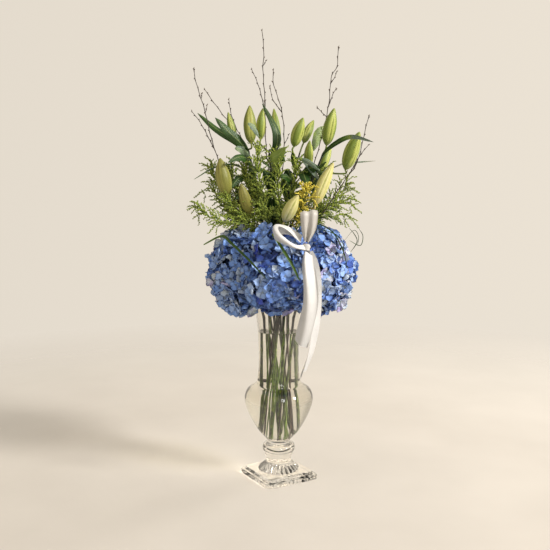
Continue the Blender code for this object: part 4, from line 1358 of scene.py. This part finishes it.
def build_foliage(index):
    draw = np.random.default_rng(70 + index)
    line, low = lily_line(index)
    upper = line[low - 8 :]
    bunch = Bunch()
    for k in range(13):
        share = 0.02 + 0.94 * k / 12
        start, ahead = at_share(upper, share)
        turn = 2.4 * k + index
        flat = np.array([math.cos(turn), math.sin(turn), 0.0])
        way = unit(ahead * draw.uniform(0.9, 1.4) + flat)
        length = draw.uniform(44, 74) * (1 - 0.35 * share)
        blade_line = leaf_line(start, way, length, draw.uniform(-0.05, 0.35))
        width = draw.uniform(7, 12)
        tone = draw.uniform(0.0, 0.34)
        twist = draw.uniform(-0.5, 0.5)
        across = np.cross(way, ahead)
        add_blade(bunch, blade_line, across, width, 0.5, LEAF_SHAPE, tone, 0.16, 0.04, twist)
    for start, end, width, tone in SHORT_LEAVES[index]:
        ends = above_rim([start, end])
        middle = ends.mean(axis=0) + [0, 0, 6]
        across = np.cross(ends[1] - ends[0], [0.25, -1.0, 0.35])
        blade_line = curve_through([ends[0], middle, ends[1]], 8)
        add_blade(bunch, blade_line, across, width, 0.5, LEAF_SHAPE, tone, 0.16, 0.05, 0.3)
    return make_piece(f"lily_foliage_{index}", bunch, [lily_leaf.material], crease=50)


foliage = [build_foliage(index) for index in LILIES]
tell("small lily leaves", foliage)

# %% [markdown]
# ## Goldenrod
#
# A goldenrod spray is a thin stem with many side branches. They arch up and out, and each is
# crowded with tiny buds that sit alternately along it. Narrow leaves stand between them. One
# spray is in flower, so its beads are larger and yellow.

# %% Goldenrod table
GOLDENROD_STEM = 4.2
GOLDENROD, GOLDENROD_FLOWER = "goldenrod_green", "goldenrod_flower"
# Where each leaves the bundle, its upper points, the plume's width and its finish.
GOLDENROD_SPRAYS = (
    (150, [(-70, 20, 190), (-120, 30, 245), (-160, 25, 312)], 26, GOLDENROD),
    (212, [(-72, -58, 184), (-130, -78, 192), (-180, -70, 222)], 24, GOLDENROD),
    (243, [(-30, -48, 215), (-44, -50, 290), (-46, -46, 362)], 24, GOLDENROD),
    (297, [(2, -50, 215), (-2, -56, 280), (6, -54, 340)], 22, GOLDENROD),
    (330, [(44, -46, 205), (54, -62, 240), (60, -68, 276)], 22, GOLDENROD_FLOWER),
    (30, [(75, 26, 190), (122, 26, 236), (163, 12, 275)], 28, GOLDENROD),
)
# Forks of the main stems, which fill the bunch's middle.
FORKS = {
    1: [[(-70, 0, 190), (-92, 6, 250), (-116, 10, 318)],
        [(-88, -20, 180), (-130, -10, 232), (-150, -6, 268)]],
    2: [[(-60, -40, 180), (-96, -50, 214), (-122, -56, 246)]],
    3: [[(-40, -20, 200), (-66, -20, 262), (-82, -24, 322)]],
    4: [[(-4, 20, 200), (-14, 36, 266), (-18, 30, 334)], [(20, -30, 210), (34, -34, 268), (40, -30, 322)]],
    6: [[(50, 20, 190), (74, 24, 248), (94, 20, 300)], [(70, 0, 180), (104, -16, 214), (136, -24, 232)],
        [(60, -10, 180), (96, -30, 200), (130, -36, 196)], [(72, 10, 186), (116, 4, 216), (150, 0, 238)]],
}
# Places that the longest branches reach, by spray.
BRANCH_TIPS = {
    1: [(-191, 30, 240), (-174, 30, 275), (-167, 30, 331), (-153, 25, 325), (-135, 28, 290),
        (-118, 20, 318), (-150, 34, 212)],
    2: [(-174, -60, 213), (-143, -70, 184), (-188, -64, 232), (-150, -84, 166), (-122, -62, 236),
        (-186, -52, 196)],
    3: [(-84, -60, 183), (-71, -40, 300), (-45, -30, 343), (-28, -30, 352), (-92, -52, 262),
        (-78, -60, 232), (-22, -62, 286), (-100, -50, 210), (-64, -70, 326), (-110, -40, 236),
        (-58, -76, 210), (-30, -70, 250), (-66, -20, 320), (-20, -40, 330)],
    4: [(-15, -50, 310), (-26, -66, 250), (22, -62, 300), (34, -60, 262), (-20, -60, 352), (14, -70, 230),
        (-10, -70, 208), (30, -40, 330), (-30, -50, 300), (46, -40, 300), (20, -70, 260)],
    5: [(34, -74, 250), (48, -72, 262), (64, -72, 272), (84, -78, 262), (86, -76, 240), (26, -78, 236),
        (30, -78, 214), (60, -80, 216)],
    6: [(183, 12, 229), (185, 12, 207), (175, -40, 175), (179, 12, 251), (161, 20, 273), (134, 20, 289),
        (124, 10, 321), (172, -20, 190), (146, 4, 196)],
}
# Plumes that must leave room for a neighbour stay inside a box, here by its two far corners.
PLUME_LIMITS = {5: ((24, -92, -40), (88, 0, 273)), 6: ((-90, -26, -40), (200, 90, 360))}
print(len(GOLDENROD_SPRAYS), "sprays,", sum(len(tips) for tips in BRANCH_TIPS.values()), "long branches")


# %% Goldenrod material
def goldenrod_finish(name, low, middle, high, tip):
    finish = Finish(name, Roughness=0.6, Sheen_Weight=0.1, Sheen_Roughness=0.5)
    marks = finish.group(PLANT_MARKS)
    blotch = finish.group(BLOTCHES, Scale=130.0, Fine_scale=1200.0)
    tone = finish.drift(blotch, 0.4, marks["Tone"])
    colour = finish.ramp(tone, (0.0, low), (0.5, middle), (1.0, high))
    colour = finish.tint(0.5, finish.math("POWER", marks["Along"], 2.0), colour, tip)
    finish.shade(colour, marks, srgb(60, 66, 30))
    finish.bump(blotch["Fine"], 0.0004, 0.5)
    return finish


goldenrod_green = goldenrod_finish(
    "goldenrod green", srgb(50, 74, 14), srgb(94, 122, 26), srgb(154, 170, 50), srgb(192, 198, 84)
)
goldenrod_flower = goldenrod_finish(
    "goldenrod flower", srgb(150, 142, 30), srgb(206, 188, 40), srgb(228, 212, 78), srgb(236, 224, 110)
)
print("finishes:", goldenrod_green.material.name, goldenrod_flower.material.name)


# %% Goldenrod sprays
def add_branch(bunch, draw, start, tip, bead_length, bead_radius, spacing):
    """A thin arching branch crowded with beads."""
    reach = np.linalg.norm(tip - start)
    middle = (start + tip) / 2 + np.array([0, 0, 0.18 * reach]) + draw.normal(0, 0.04 * reach, 3)
    line = curve_through([start, middle, tip], 7)
    add_tube(bunch, line, np.linspace(0.6, 0.3, len(line)), 4, draw.uniform(0.1, 0.4), 0.85, 1)
    run = lengths_along(line)
    count = max(4, int(run[-1] / spacing))
    shares = np.linspace(0.16, 1.0, count) ** 0.9
    spots = points_at(line, run, shares * run[-1])
    ahead = unit(points_at(unit(np.gradient(line, axis=0)), run, shares * run[-1]))
    away = unit(np.cross(ahead, unit(draw.normal(0, 1, (count, 3)))))
    away[:, 2] += 0.35
    ways = unit(ahead * 0.75 + away)
    size = draw.uniform(0.75, 1.2, count) * (1.1 - 0.35 * shares)
    tones = draw.uniform(0.2, 1.0, count)
    add_beads(bunch, spots, ways, bead_length * size, bead_radius * size, tones, 1.0, 0)


def build_goldenrod(number, azimuth, upper, width, slot):
    draw = np.random.default_rng(90 + number)
    line, low = stem_route(SLIM_RING, azimuth, GOLDENROD_STEM / 2, SPREAD_Z, above_rim(upper))
    bunch = Bunch()
    stem_radii = [GOLDENROD_STEM * 0.30, GOLDENROD_STEM * 0.34, 0.5]
    radii = np.interp(np.linspace(0, 1, len(line)), [0, 0.5, 1], stem_radii)
    add_tube(bunch, line, radii, 8, 0.3, 0.9, 1)
    plume = line[low + 3 :]
    flowering = slot == GOLDENROD_FLOWER
    bead_length, bead_radius, spacing = (4.0, 1.9, 1.9) if flowering else (4.0, 1.4, 1.7)
    forks = [curve_through(np.vstack([[line[low]], above_rim(fork)]), 8) for fork in FORKS.get(number, [])]
    for fork in forks:
        add_tube(bunch, fork, np.linspace(GOLDENROD_STEM * 0.3, 0.5, len(fork)), 7, 0.3, 0.9, 1)
    tips = [above_rim(tip) for tip in BRANCH_TIPS[number]]
    shoots = (46, 46, 38, 32, 28)[len(forks)]
    for stem in [plume] + [fork[4:] for fork in forks]:
        for k in range(shoots):
            share = 0.02 + 0.96 * k / (shoots - 1)
            spot, ahead = at_share(stem, share)
            turn = 2.4 * k + number
            around = unit(np.cross(ahead, [math.cos(turn), math.sin(turn), 0.3]))
            reach = width * draw.uniform(0.6, 1.5) * (1 - 0.45 * share)
            onward = ahead * reach * draw.uniform(0.6, 1.1)
            tips.append(spot + onward + around * reach * 0.8 + [0, 0, 0.15 * reach])
    if number in PLUME_LIMITS:
        tips = list(np.clip(tips, *above_rim(PLUME_LIMITS[number])))
    for tip in tips:
        near = [np.linalg.norm(stem - tip, axis=1) for stem in [plume] + forks]
        which = int(np.argmin([gaps.min() for gaps in near]))
        stem = ([plume] + forks)[which]
        start = stem[max(0, int(np.argmin(near[which])) - int(len(stem) * 0.16))]
        add_branch(bunch, draw, start, tip, bead_length, bead_radius, spacing)
        onward = tip - start
        if np.linalg.norm(onward) > 34:
            inner = start + onward * 0.45
            for side in (-1, 1):
                aside = unit(np.cross(onward, [0.2, side, 0.4])) * 15 + unit(onward) * 13
                end = inner + aside * draw.uniform(0.7, 1.2)
                add_branch(bunch, draw, inner, end, bead_length * 0.9, bead_radius * 0.9, spacing)
    for k in range(26):
        stem = [line[low - 4 :], *forks][k % (1 + len(forks))]
        spot, ahead = at_share(stem, 0.03 + 0.034 * k)
        turn = 2.4 * k + 2 * number
        way = unit(ahead * 0.8 + [math.cos(turn), math.sin(turn), 0.1])
        blade = leaf_line(spot, way, draw.uniform(22, 38), 0.25)
        leaf_width = draw.uniform(3.4, 6)
        tone = draw.uniform(0, 0.3)
        add_blade(bunch, blade, np.cross(way, ahead), leaf_width, 0.4, LEAF_SHAPE, tone, 0.1, 0.03, 0.4, 1)
    beads = goldenrod_flower if flowering else goldenrod_green
    finishes = [beads.material, goldenrod_green.material]
    return make_piece(f"goldenrod_spray_{number}", bunch, finishes, [f"goldenrod_{number}"])


sprays = [build_goldenrod(number, *row) for number, row in enumerate(GOLDENROD_SPRAYS, 1)]
tell("goldenrod", sprays)

# %% [markdown]
# ## Birch twigs
#
# A winter twig runs slightly zigzag from bud to bud. It is a little swollen at each one, and
# small pointed buds sit alternately and close to the bark. Side shoots fork off, and the tips
# end in a bud. The bark is dark and glossy, with pale pores.

# %% Twig table
TWIG_STEM = 3.6
# Where each leaves the bundle, its upper points, and its side shoots.
TWIGS = (
    (181, [(-80, -4, 205), (-118, -8, 271), (-134, -10, 326), (-147, -15, 369), (-160, -20, 427),
           (-177, -20, 482), (-184, -20, 517)],
     [[(-138, -12, 340), (-166, -28, 396), (-186, -40, 425)]]),
    (120, [(-48, 44, 240), (-68, 56, 310), (-87, 58, 380), (-124, 60, 424), (-168, 55, 483)],
     [[(-95, 58, 391), (-108, 56, 430), (-112, 50, 461)]]),
    (90, [(-14, 40, 245), (-28, 34, 345), (-31, 24, 457), (-35, 20, 520), (-33, 20, 563), (-38, 20, 606)],
     [[(-31, 24, 425), (-44, 27, 484), (-60, 30, 524)]]),
    (270, [(2, -26, 230), (9, -18, 310), (11, -15, 385), (4, -20, 436), (-11, -20, 482), (-13, -20, 515)],
     [[(6, -17, 425), (-14, -4, 455), (-19, 0, 483)]]),
    (62, [(54, 34, 245), (88, 26, 346), (110, 28, 441), (116, 30, 504), (129, 30, 531), (131, 30, 572)],
     [[(110, 29, 445), (121, 38, 470), (129, 50, 485)], [(105, 27, 420), (94, 12, 428), (84, 0, 438)]]),
    (0, [(58, -14, 186), (92, -36, 205), (116, -40, 240), (145, -44, 283), (167, -52, 316), (183, -54, 383),
         (191, -50, 415)],
     [[(150, -46, 290), (172, -60, 330), (190, -66, 352)]]),
)
print(len(TWIGS), "twigs,", sum(len(shoots) for *_, shoots in TWIGS), "side shoots")


# %% Birch twigs
def bark_finish():
    finish = Finish("birch bark", Roughness=0.45, Specular_IOR_Level=0.5)
    marks = finish.group(PLANT_MARKS)
    blotch = finish.group(BLOTCHES, Scale=120.0, Fine_scale=1500.0)
    colour = finish.ramp(blotch["Blotch"], (0.3, srgb(20, 15, 10)), (0.7, srgb(48, 36, 26)))
    pores = finish.ramp(blotch["Fine"], (0.62, BLACK), (0.70, WHITE))
    colour = finish.tint(0.5, pores, colour, srgb(150, 128, 100))
    colour = finish.tint(0.35, marks["Tone"], colour, srgb(112, 76, 44))
    finish.set("Base Color", colour)
    finish.bump(blotch["Fine"], 0.0005, 0.6)
    return finish


birch_bark = bark_finish()


def add_twig(bunch, draw, line, start_radius, end_radius, gap, first=0.0):
    """A zigzag twig with swellings and alternate buds."""
    run = lengths_along(line)
    nodes = np.arange(first, run[-1] - 4, gap)
    count = max(len(line), int(run[-1] / (gap / 4)))
    places = np.linspace(0, run[-1], count)
    bent = points_at(line, run, places)
    ahead, side, out = frames_along(bent, (1.0, 0.3, 0.1))
    aside = side * 0.9 + out * 0.45
    sway = np.zeros(count)
    if len(nodes) > 1:
        sway = np.interp(places, nodes, np.where(np.arange(len(nodes)) % 2, 1.0, -1.0))
    sway = np.where(places < first + gap, 0.0, sway) * gap * 0.05
    bent = bent + aside * sway[:, None]
    radii = np.interp(places, [0, run[-1]], [start_radius, end_radius])
    for node in nodes:
        radii = radii + 0.3 * np.exp(-(((places - node) / 2.0) ** 2)) * start_radius ** 0.5
    add_tube(bunch, bent, radii, 8, draw.uniform(0, 0.3))
    for k, node in enumerate(nodes):
        spot = points_at(bent, places, node)
        i = min(int(node / run[-1] * (count - 1)), count - 1)
        away = aside[i] * (1 if k % 2 else -1) + out[i] * draw.uniform(-0.5, 0.5)
        length = draw.uniform(3.6, 5.6)
        radius = draw.uniform(0.8, 1.25)
        tone = draw.uniform(0.2, 0.8)
        add_beads(bunch, spot + away * 0.4, ahead[i] * 1.5 + away, length, radius, tone)
    add_beads(bunch, bent[-1] - ahead[-1] * 1.5, ahead[-1] + aside[-1] * 0.4, 5.0, 0.9, 0.8)
    add_beads(bunch, bent[-1] - ahead[-1] * 2.5, ahead[-1] - aside[-1] * 0.9, 4.0, 0.8, 0.8)


def build_twig(number, azimuth, upper, shoots):
    draw = np.random.default_rng(120 + number)
    line, low = stem_route(SLIM_RING, azimuth, TWIG_STEM / 2, SPREAD_Z, above_rim(upper))
    bunch = Bunch()
    free = lengths_along(line)[low]
    add_twig(bunch, draw, line, TWIG_STEM * 0.46, 0.72, 19.0, free)
    for shoot in shoots:
        points = above_rim(shoot)
        gaps = np.linalg.norm(line - points[0], axis=1)
        start = line[int(np.argmin(gaps))]
        add_twig(bunch, draw, curve_through(np.vstack([[start], points[1:]]), 8), 1.0, 0.55, 13.0, 9.0)
    for _ in range(2):
        spot, ahead = at_share(line[low:], draw.uniform(0.45, 0.85))
        turn = draw.uniform(0, 2 * math.pi)
        way = unit(ahead + 0.75 * unit(np.cross(ahead, [math.cos(turn), math.sin(turn), 0.2])))
        reach = draw.uniform(12, 30)
        tip = spot + (way * 0.9 + ahead * 0.2) * reach
        side_line = curve_through([spot, spot + way * reach * 0.5, tip], 4)
        add_twig(bunch, draw, side_line, 0.75, 0.42, 9.0, 6.0)
    return make_piece(f"birch_{number}", bunch, [birch_bark.material], [f"birch_twig_{number}"])


twigs = [build_twig(number, *row) for number, row in enumerate(TWIGS, 1)]
tell("birch twigs", twigs)

# %% [markdown]
# ## Grass
#
# Long grass blades are tucked into the flowers and bend over them. Each is folded lightly
# along its middle and has fine stripes. A few thin dark strands curl out at the right.


# %% Grass blades
def grass_finish():
    finish = Finish("grass blade", Roughness=0.4, Specular_IOR_Level=0.45)
    marks = finish.group(PLANT_MARKS)
    blotch = finish.group(BLOTCHES, Scale=40.0, Fine_scale=700.0)
    tone = finish.drift(blotch, 0.35, marks["Tone"])
    colour = finish.ramp(tone, (0.0, srgb(30, 56, 18)), (0.5, srgb(62, 100, 30)), (0.85, srgb(128, 158, 62)),
                         (1.0, srgb(150, 128, 70)))
    stripes = finish.group(VEINS, Across=marks["Across"], Count=7.0, Sharpness=3.0)
    colour = finish.tint(0.4, stripes["Vein"], colour, srgb(28, 48, 16))
    finish.set("Base Color", colour)
    finish.bump(finish.math("MULTIPLY_ADD", stripes["Vein"], -0.8, blotch["Fine"]), 0.0004, 0.6)
    return finish


grass = grass_finish()
GRASS_SHAPE = ((0.0, 0.06, 0.4, 0.8, 0.95, 1.0), (0.5, 0.8, 1.0, 0.8, 0.4, 0.06))
GRASS_WIDTH = 7.5
GRASS_TONES = (0.46, 0.54, 0.12, 0.1)
GRASS_SHARES = (0.8, 0.8, 0.45, 0.35)  # of the full width
blades = []
for number, (points, across) in enumerate(GRASS_BLADES, 1):
    line = curve_through(above_rim(points), 10)
    tone = GRASS_TONES[number - 1] + 0.35 * np.linspace(1, 0, len(line)) ** 3
    bunch = Bunch()
    width = GRASS_WIDTH * GRASS_SHARES[number - 1]
    add_blade(bunch, line, across, width, 0.5, GRASS_SHAPE, tone[:, None], 0.34, 0.0, 0.5)
    replaced = [f"grass_blade_{number}"]
    blades.append(make_piece(f"grass_{number}", bunch, [grass.material], replaced, 60))
tell("grass blades", blades)

STRANDS = (
    ([(70, -80, 176), (98, -100, 172), (121, -110, 162), (134, -115, 141), (129, -120, 105)], 2.4),
    ([(150, -60, 176), (160, -70, 164), (166, -75, 147), (151, -80, 124)], 2.2),
    ([(140, -70, 150), (158, -80, 172), (168, -84, 160), (166, -84, 138)], 1.6),
)
strands = Bunch()
for points, width in STRANDS:
    line = curve_through(above_rim(points), 8)
    add_blade(strands, line, (0.3, 0.9, 0.3), width, 0.5, GRASS_SHAPE, 0.05, 0.3, 0.0, 0.8)
tell("thin strands", [make_piece("grass_strands", strands, [grass.material], crease=60)])

# %% [markdown]
# ## The satin ribbon
#
# The bow is one satin ribbon, 37 mm wide. Where it is gathered into the knot it folds
# lengthwise, and it opens out flat away from it. The helper below keeps the ribbon's real width
# measured round the folds: at each step it finds how deep the folds must be for that.


# %% Satin material
def satin_finish():
    """Ivory satin: soft broad gloss, fine lengthwise threads and a woven edge."""
    finish = Finish("ivory satin", Sheen_Weight=0.3, Sheen_Roughness=0.3, Specular_IOR_Level=0.5)
    marks = finish.group(PLANT_MARKS)
    blotch = finish.group(BLOTCHES, Scale=30.0, Fine_scale=600.0)
    colour = finish.ramp(blotch["Blotch"], (0.3, srgb(202, 203, 204)), (0.7, srgb(217, 217, 218)))
    threads = finish.group(VEINS, Across=marks["Across"], Count=70.0, Sharpness=1.5)
    picks = finish.group(VEINS, Across=marks["Along"], Count=260.0, Sharpness=1.5)
    weave = finish.math("MULTIPLY_ADD", threads["Vein"], 0.7, finish.math("MULTIPLY", picks["Vein"], 0.3))
    colour = finish.tint(0.10, weave, colour, srgb(188, 182, 172))
    edge = finish.edges(marks["Across"], 24.0)
    colour = finish.tint(0.25, edge, colour, srgb(200, 196, 186))
    # The shade mark paints shade toward a beige grey: on the upper loop, and a little on the knot.
    finish.shade(colour, marks, srgb(168, 148, 112))
    finish.set("Roughness", finish.math("MULTIPLY_ADD", blotch["Fine"], 0.12, 0.30))
    finish.bump(finish.math("MULTIPLY_ADD", edge, 2.0, weave), 0.00012, 0.5)
    return finish


satin = satin_finish()
print("finish:", satin.material.name)

# %% Ribbon lengths
RIBBON_WIDTH = 37.0
RIBBON_THICKNESS = 0.35
RIBBON_COLUMNS = np.linspace(-1, 1, 25)


def fold_depth(width, folds, phase):
    """How deep folds must be for a ribbon of full width to fit in a narrower one."""
    fine = np.linspace(-1, 1, 200)
    low, high = 0.0, 40.0
    for _ in range(30):
        depth = (low + high) / 2
        x, z = width / 2 * fine, depth * np.cos(math.pi * folds * fine + phase)
        if np.hypot(np.diff(x), np.diff(z)).sum() < RIBBON_WIDTH:
            low = depth
        else:
            high = depth
    return low


def ribbon_rings(line, across, shares, folds, phase, cut=0.0):
    """Rings round a ribbon: its folded top, and its underside close below."""
    run = lengths_along(line) / lengths_along(line)[-1]
    knots = curve_through([(0, share, 0) for share in shares], 6)[:, 1]
    open_width = np.minimum(np.interp(run, np.linspace(0, 1, len(knots)), knots), 0.985) * RIBBON_WIDTH
    ahead, side, out = frames_along(line, across)
    v = RIBBON_COLUMNS
    rings = []
    for i, width in enumerate(open_width):
        turn = phase + 0.6 * math.sin(5.0 * run[i])
        depth = fold_depth(width, folds, turn)
        wave = depth * np.cos(math.pi * folds * v + turn)
        flat = side[i] * (width / 2 * v)[:, None] + out[i] * wave[:, None]
        slope = np.gradient(flat, axis=0)
        normal = unit(np.cross(ahead[i], slope))
        slant = ahead[i] * (cut * v * max(0.0, (run[i] - 0.8) / 0.2))[:, None]
        top = line[i] + flat + slant
        rings.append(np.vstack([top, (top - normal * RIBBON_THICKNESS)[::-1]]))
    return np.array(rings), run


# Number of folds, where they start, the slant of the cut end, and the shade mark, which paints shade on the
# upper loop.
FOLDS = {
    "ribbon_loop_upper": (2.0, 0.0, 0.0, 0.66),
    "ribbon_loop_left": (0.5, 0.3, 0.0, 1.0),
    "ribbon_tail_front": (0.8, 0.6, 5.0, 1.0),
    "ribbon_tail_back": (0.5, 3.14, -4.0, 1.0),
}
ribbons = []
for name, (points, across, shares, held) in RIBBON_PIECES.items():
    folds, phase, cut, shade = FOLDS[name]
    line = curve_through(above_rim(points), 9)
    rings, run = ribbon_rings(line, across, shares, folds, phase, cut)
    marks_across = np.concatenate([(RIBBON_COLUMNS + 1) / 2, (RIBBON_COLUMNS[::-1] + 1) / 2])
    bunch = Bunch()
    add_loft(bunch, rings, marks_for(run[:, None], marks_across[None], 0.5, shade))
    satin_name = name.replace("ribbon", "satin")
    piece = make_piece(satin_name, bunch, [satin.material], [name], 45)
    ribbons.append(piece)

# %% [markdown]
# ## The knot
#
# One more turn of the ribbon wraps the bow's middle. It is a short pleated band, puffed at the
# front, whose folds run across it, so it is spun round the place where the ribbons meet.


# %% Knot
def build_knot():
    middle = above_rim(KNOT)
    radii = np.array([8.6, 6.8, 9.2])
    around, rows = 64, 22
    turn = full_turn(around)
    rings = []
    for row in range(rows):
        lift = math.radians(-86 + 172 * row / (rows - 1))
        pleat = 1 + 0.07 * np.sin(5 * lift + 1.6 * np.sin(turn))
        pleat = pleat + 0.03 * np.sin(11 * lift - 2 * np.sin(turn + 0.6))
        pull = 0.82 + 0.18 * np.cos(lift)
        x = radii[0] * math.cos(lift) ** 0.7 * np.cos(turn) * pleat
        y = radii[1] * math.cos(lift) ** 0.7 * np.sin(turn) * pleat
        z = radii[2] * math.sin(lift) * pull * (1 + 0.05 * np.cos(2 * turn))
        rings.append(np.stack([x + 0.12 * z, y, z - 0.15 * x], axis=1) + middle)
    bunch = Bunch()
    along = np.linspace(0, 1, rows)[:, None]
    across = (turn / (2 * math.pi))[None] * 0.5 + 0.25
    # The knot's shade mark of 0.9 darkens it a little as painted shade.
    add_loft(bunch, np.array(rings), marks_for(across, along * 0.8 + 0.1, 0.5, 0.9))
    return make_piece("satin_knot", bunch, [satin.material], ["ribbon_knot"])


tell("ribbon", ribbons + [build_knot()])

# %% [markdown]
# ## Floor and light
#
# The floor is a pale disc whose edge fades into an evenly lit room, so no hard horizon crosses
# the bunch. A warm key lamp far off, at the right and in front, shapes the petals and throws
# the shadow to the left. The front panel is seen only in reflections, and a weak lamp behind
# lights the edges. The room's own glow fills the rest, a little darker at the left.


# %% Floor
FLOOR_RADIUS = 2.5


def build_floor():
    floor = Finish("pale studio floor", Roughness=0.95, Specular_IOR_Level=0.1)
    marks = floor.group(BLOTCHES, Scale=3.0, Fine_scale=60.0)
    stone = floor.ramp(marks["Blotch"], (0.3, srgb(200, 195, 188)), (0.7, srgb(208, 203, 196)))
    floor.set("Base Color", stone)
    floor.bump(marks["Fine"], 0.0006, 0.3)
    nodes, links = floor.tree.nodes, floor.tree.links
    where = nodes.new("ShaderNodeTexCoord")
    reach = nodes.new("ShaderNodeVectorMath")
    reach.operation = "LENGTH"
    links.new(where.outputs["Object"], reach.inputs[0])
    share = floor.math("MULTIPLY", reach.outputs["Value"], 1 / FLOOR_RADIUS)
    fade = floor.ramp(share, (0.25, BLACK), (0.85, WHITE))
    mix_with_clear(floor, fade, WHITE)
    bm = bmesh.new()
    bmesh.ops.create_circle(bm, cap_ends=True, segments=96, radius=FLOOR_RADIUS)
    mesh = bpy.data.meshes.new("floor")
    bm.to_mesh(mesh)
    bm.free()
    mesh.materials.append(floor.material)
    disc = bpy.data.objects.new("floor", mesh)
    disc.location.z = -0.0006
    bpy.context.scene.collection.objects.link(disc)
    return disc


print("floor:", build_floor().name)


# %% Room glow and lamps
def area_lamp(name, place, target, size, power, colour):
    data = bpy.data.lights.new(name, "AREA")
    data.shape, data.size, data.energy, data.color = "DISK", size, power, colour
    lamp = bpy.data.objects.new(name, data)
    bpy.context.scene.collection.objects.link(lamp)
    lamp.location = place
    lamp.rotation_euler = (Vector(target) - Vector(place)).to_track_quat("-Z", "Y").to_euler()
    return lamp


def room_glow():
    """An even beige room, darker to the left, and a little brighter as soft light than to the eye."""
    world = bpy.data.worlds.new("studio")
    world.use_nodes = True
    bpy.context.scene.world = world
    tree = world.node_tree
    nodes, links = tree.nodes, tree.links
    glow = nodes["Background"]
    way = nodes.new("ShaderNodeTexCoord")
    parts = nodes.new("ShaderNodeSeparateXYZ")
    links.new(way.outputs["Generated"], parts.inputs[0])
    level = math_node(tree, "MULTIPLY_ADD", parts.outputs["X"], 0.10, 0.97)
    level = math_node(tree, "MULTIPLY_ADD", parts.outputs["Y"], 0.06, level)
    left = math_node(tree, "MULTIPLY_ADD", parts.outputs["X"], -2.2, -0.95)
    left = math_node(tree, "MINIMUM", math_node(tree, "MAXIMUM", left, 0.0), 0.36)
    level = math_node(tree, "SUBTRACT", level, left)
    path = nodes.new("ShaderNodeLightPath")
    soft = math_node(tree, "MULTIPLY_ADD", path.outputs["Is Diffuse Ray"], SOFT_LIGHT - 1.0, 1.0)
    links.new(math_node(tree, "MULTIPLY", level, soft), glow.inputs["Strength"])
    glow.inputs["Color"].default_value = srgb(229, 220, 206)
    return world


SOFT_LIGHT = 1.02
room_glow()
key_lamp = area_lamp("key lamp", (6.65, -3.61, 4.49), (0, 0, 0.5), 1.9, 810.0, (1.0, 0.955, 0.895))
key_lamp.visible_transmission = False
front_panel = area_lamp("front panel", (0.9, -3.0, 1.7), (0, 0, 0.3), 0.8, 24.0, (0.95, 0.98, 1.0))
front_panel.visible_diffuse = front_panel.visible_transmission = False
rim_lamp = area_lamp("rim lamp", (1.6, 1.3, 1.3), (0, 0, 0.6), 0.6, 14.0, (1.0, 0.95, 0.88))
rim_lamp.visible_transmission = rim_lamp.visible_glossy = False
bpy.context.scene.view_settings.view_transform = "Standard"
print("lamps:", [light.name for light in bpy.data.lights])
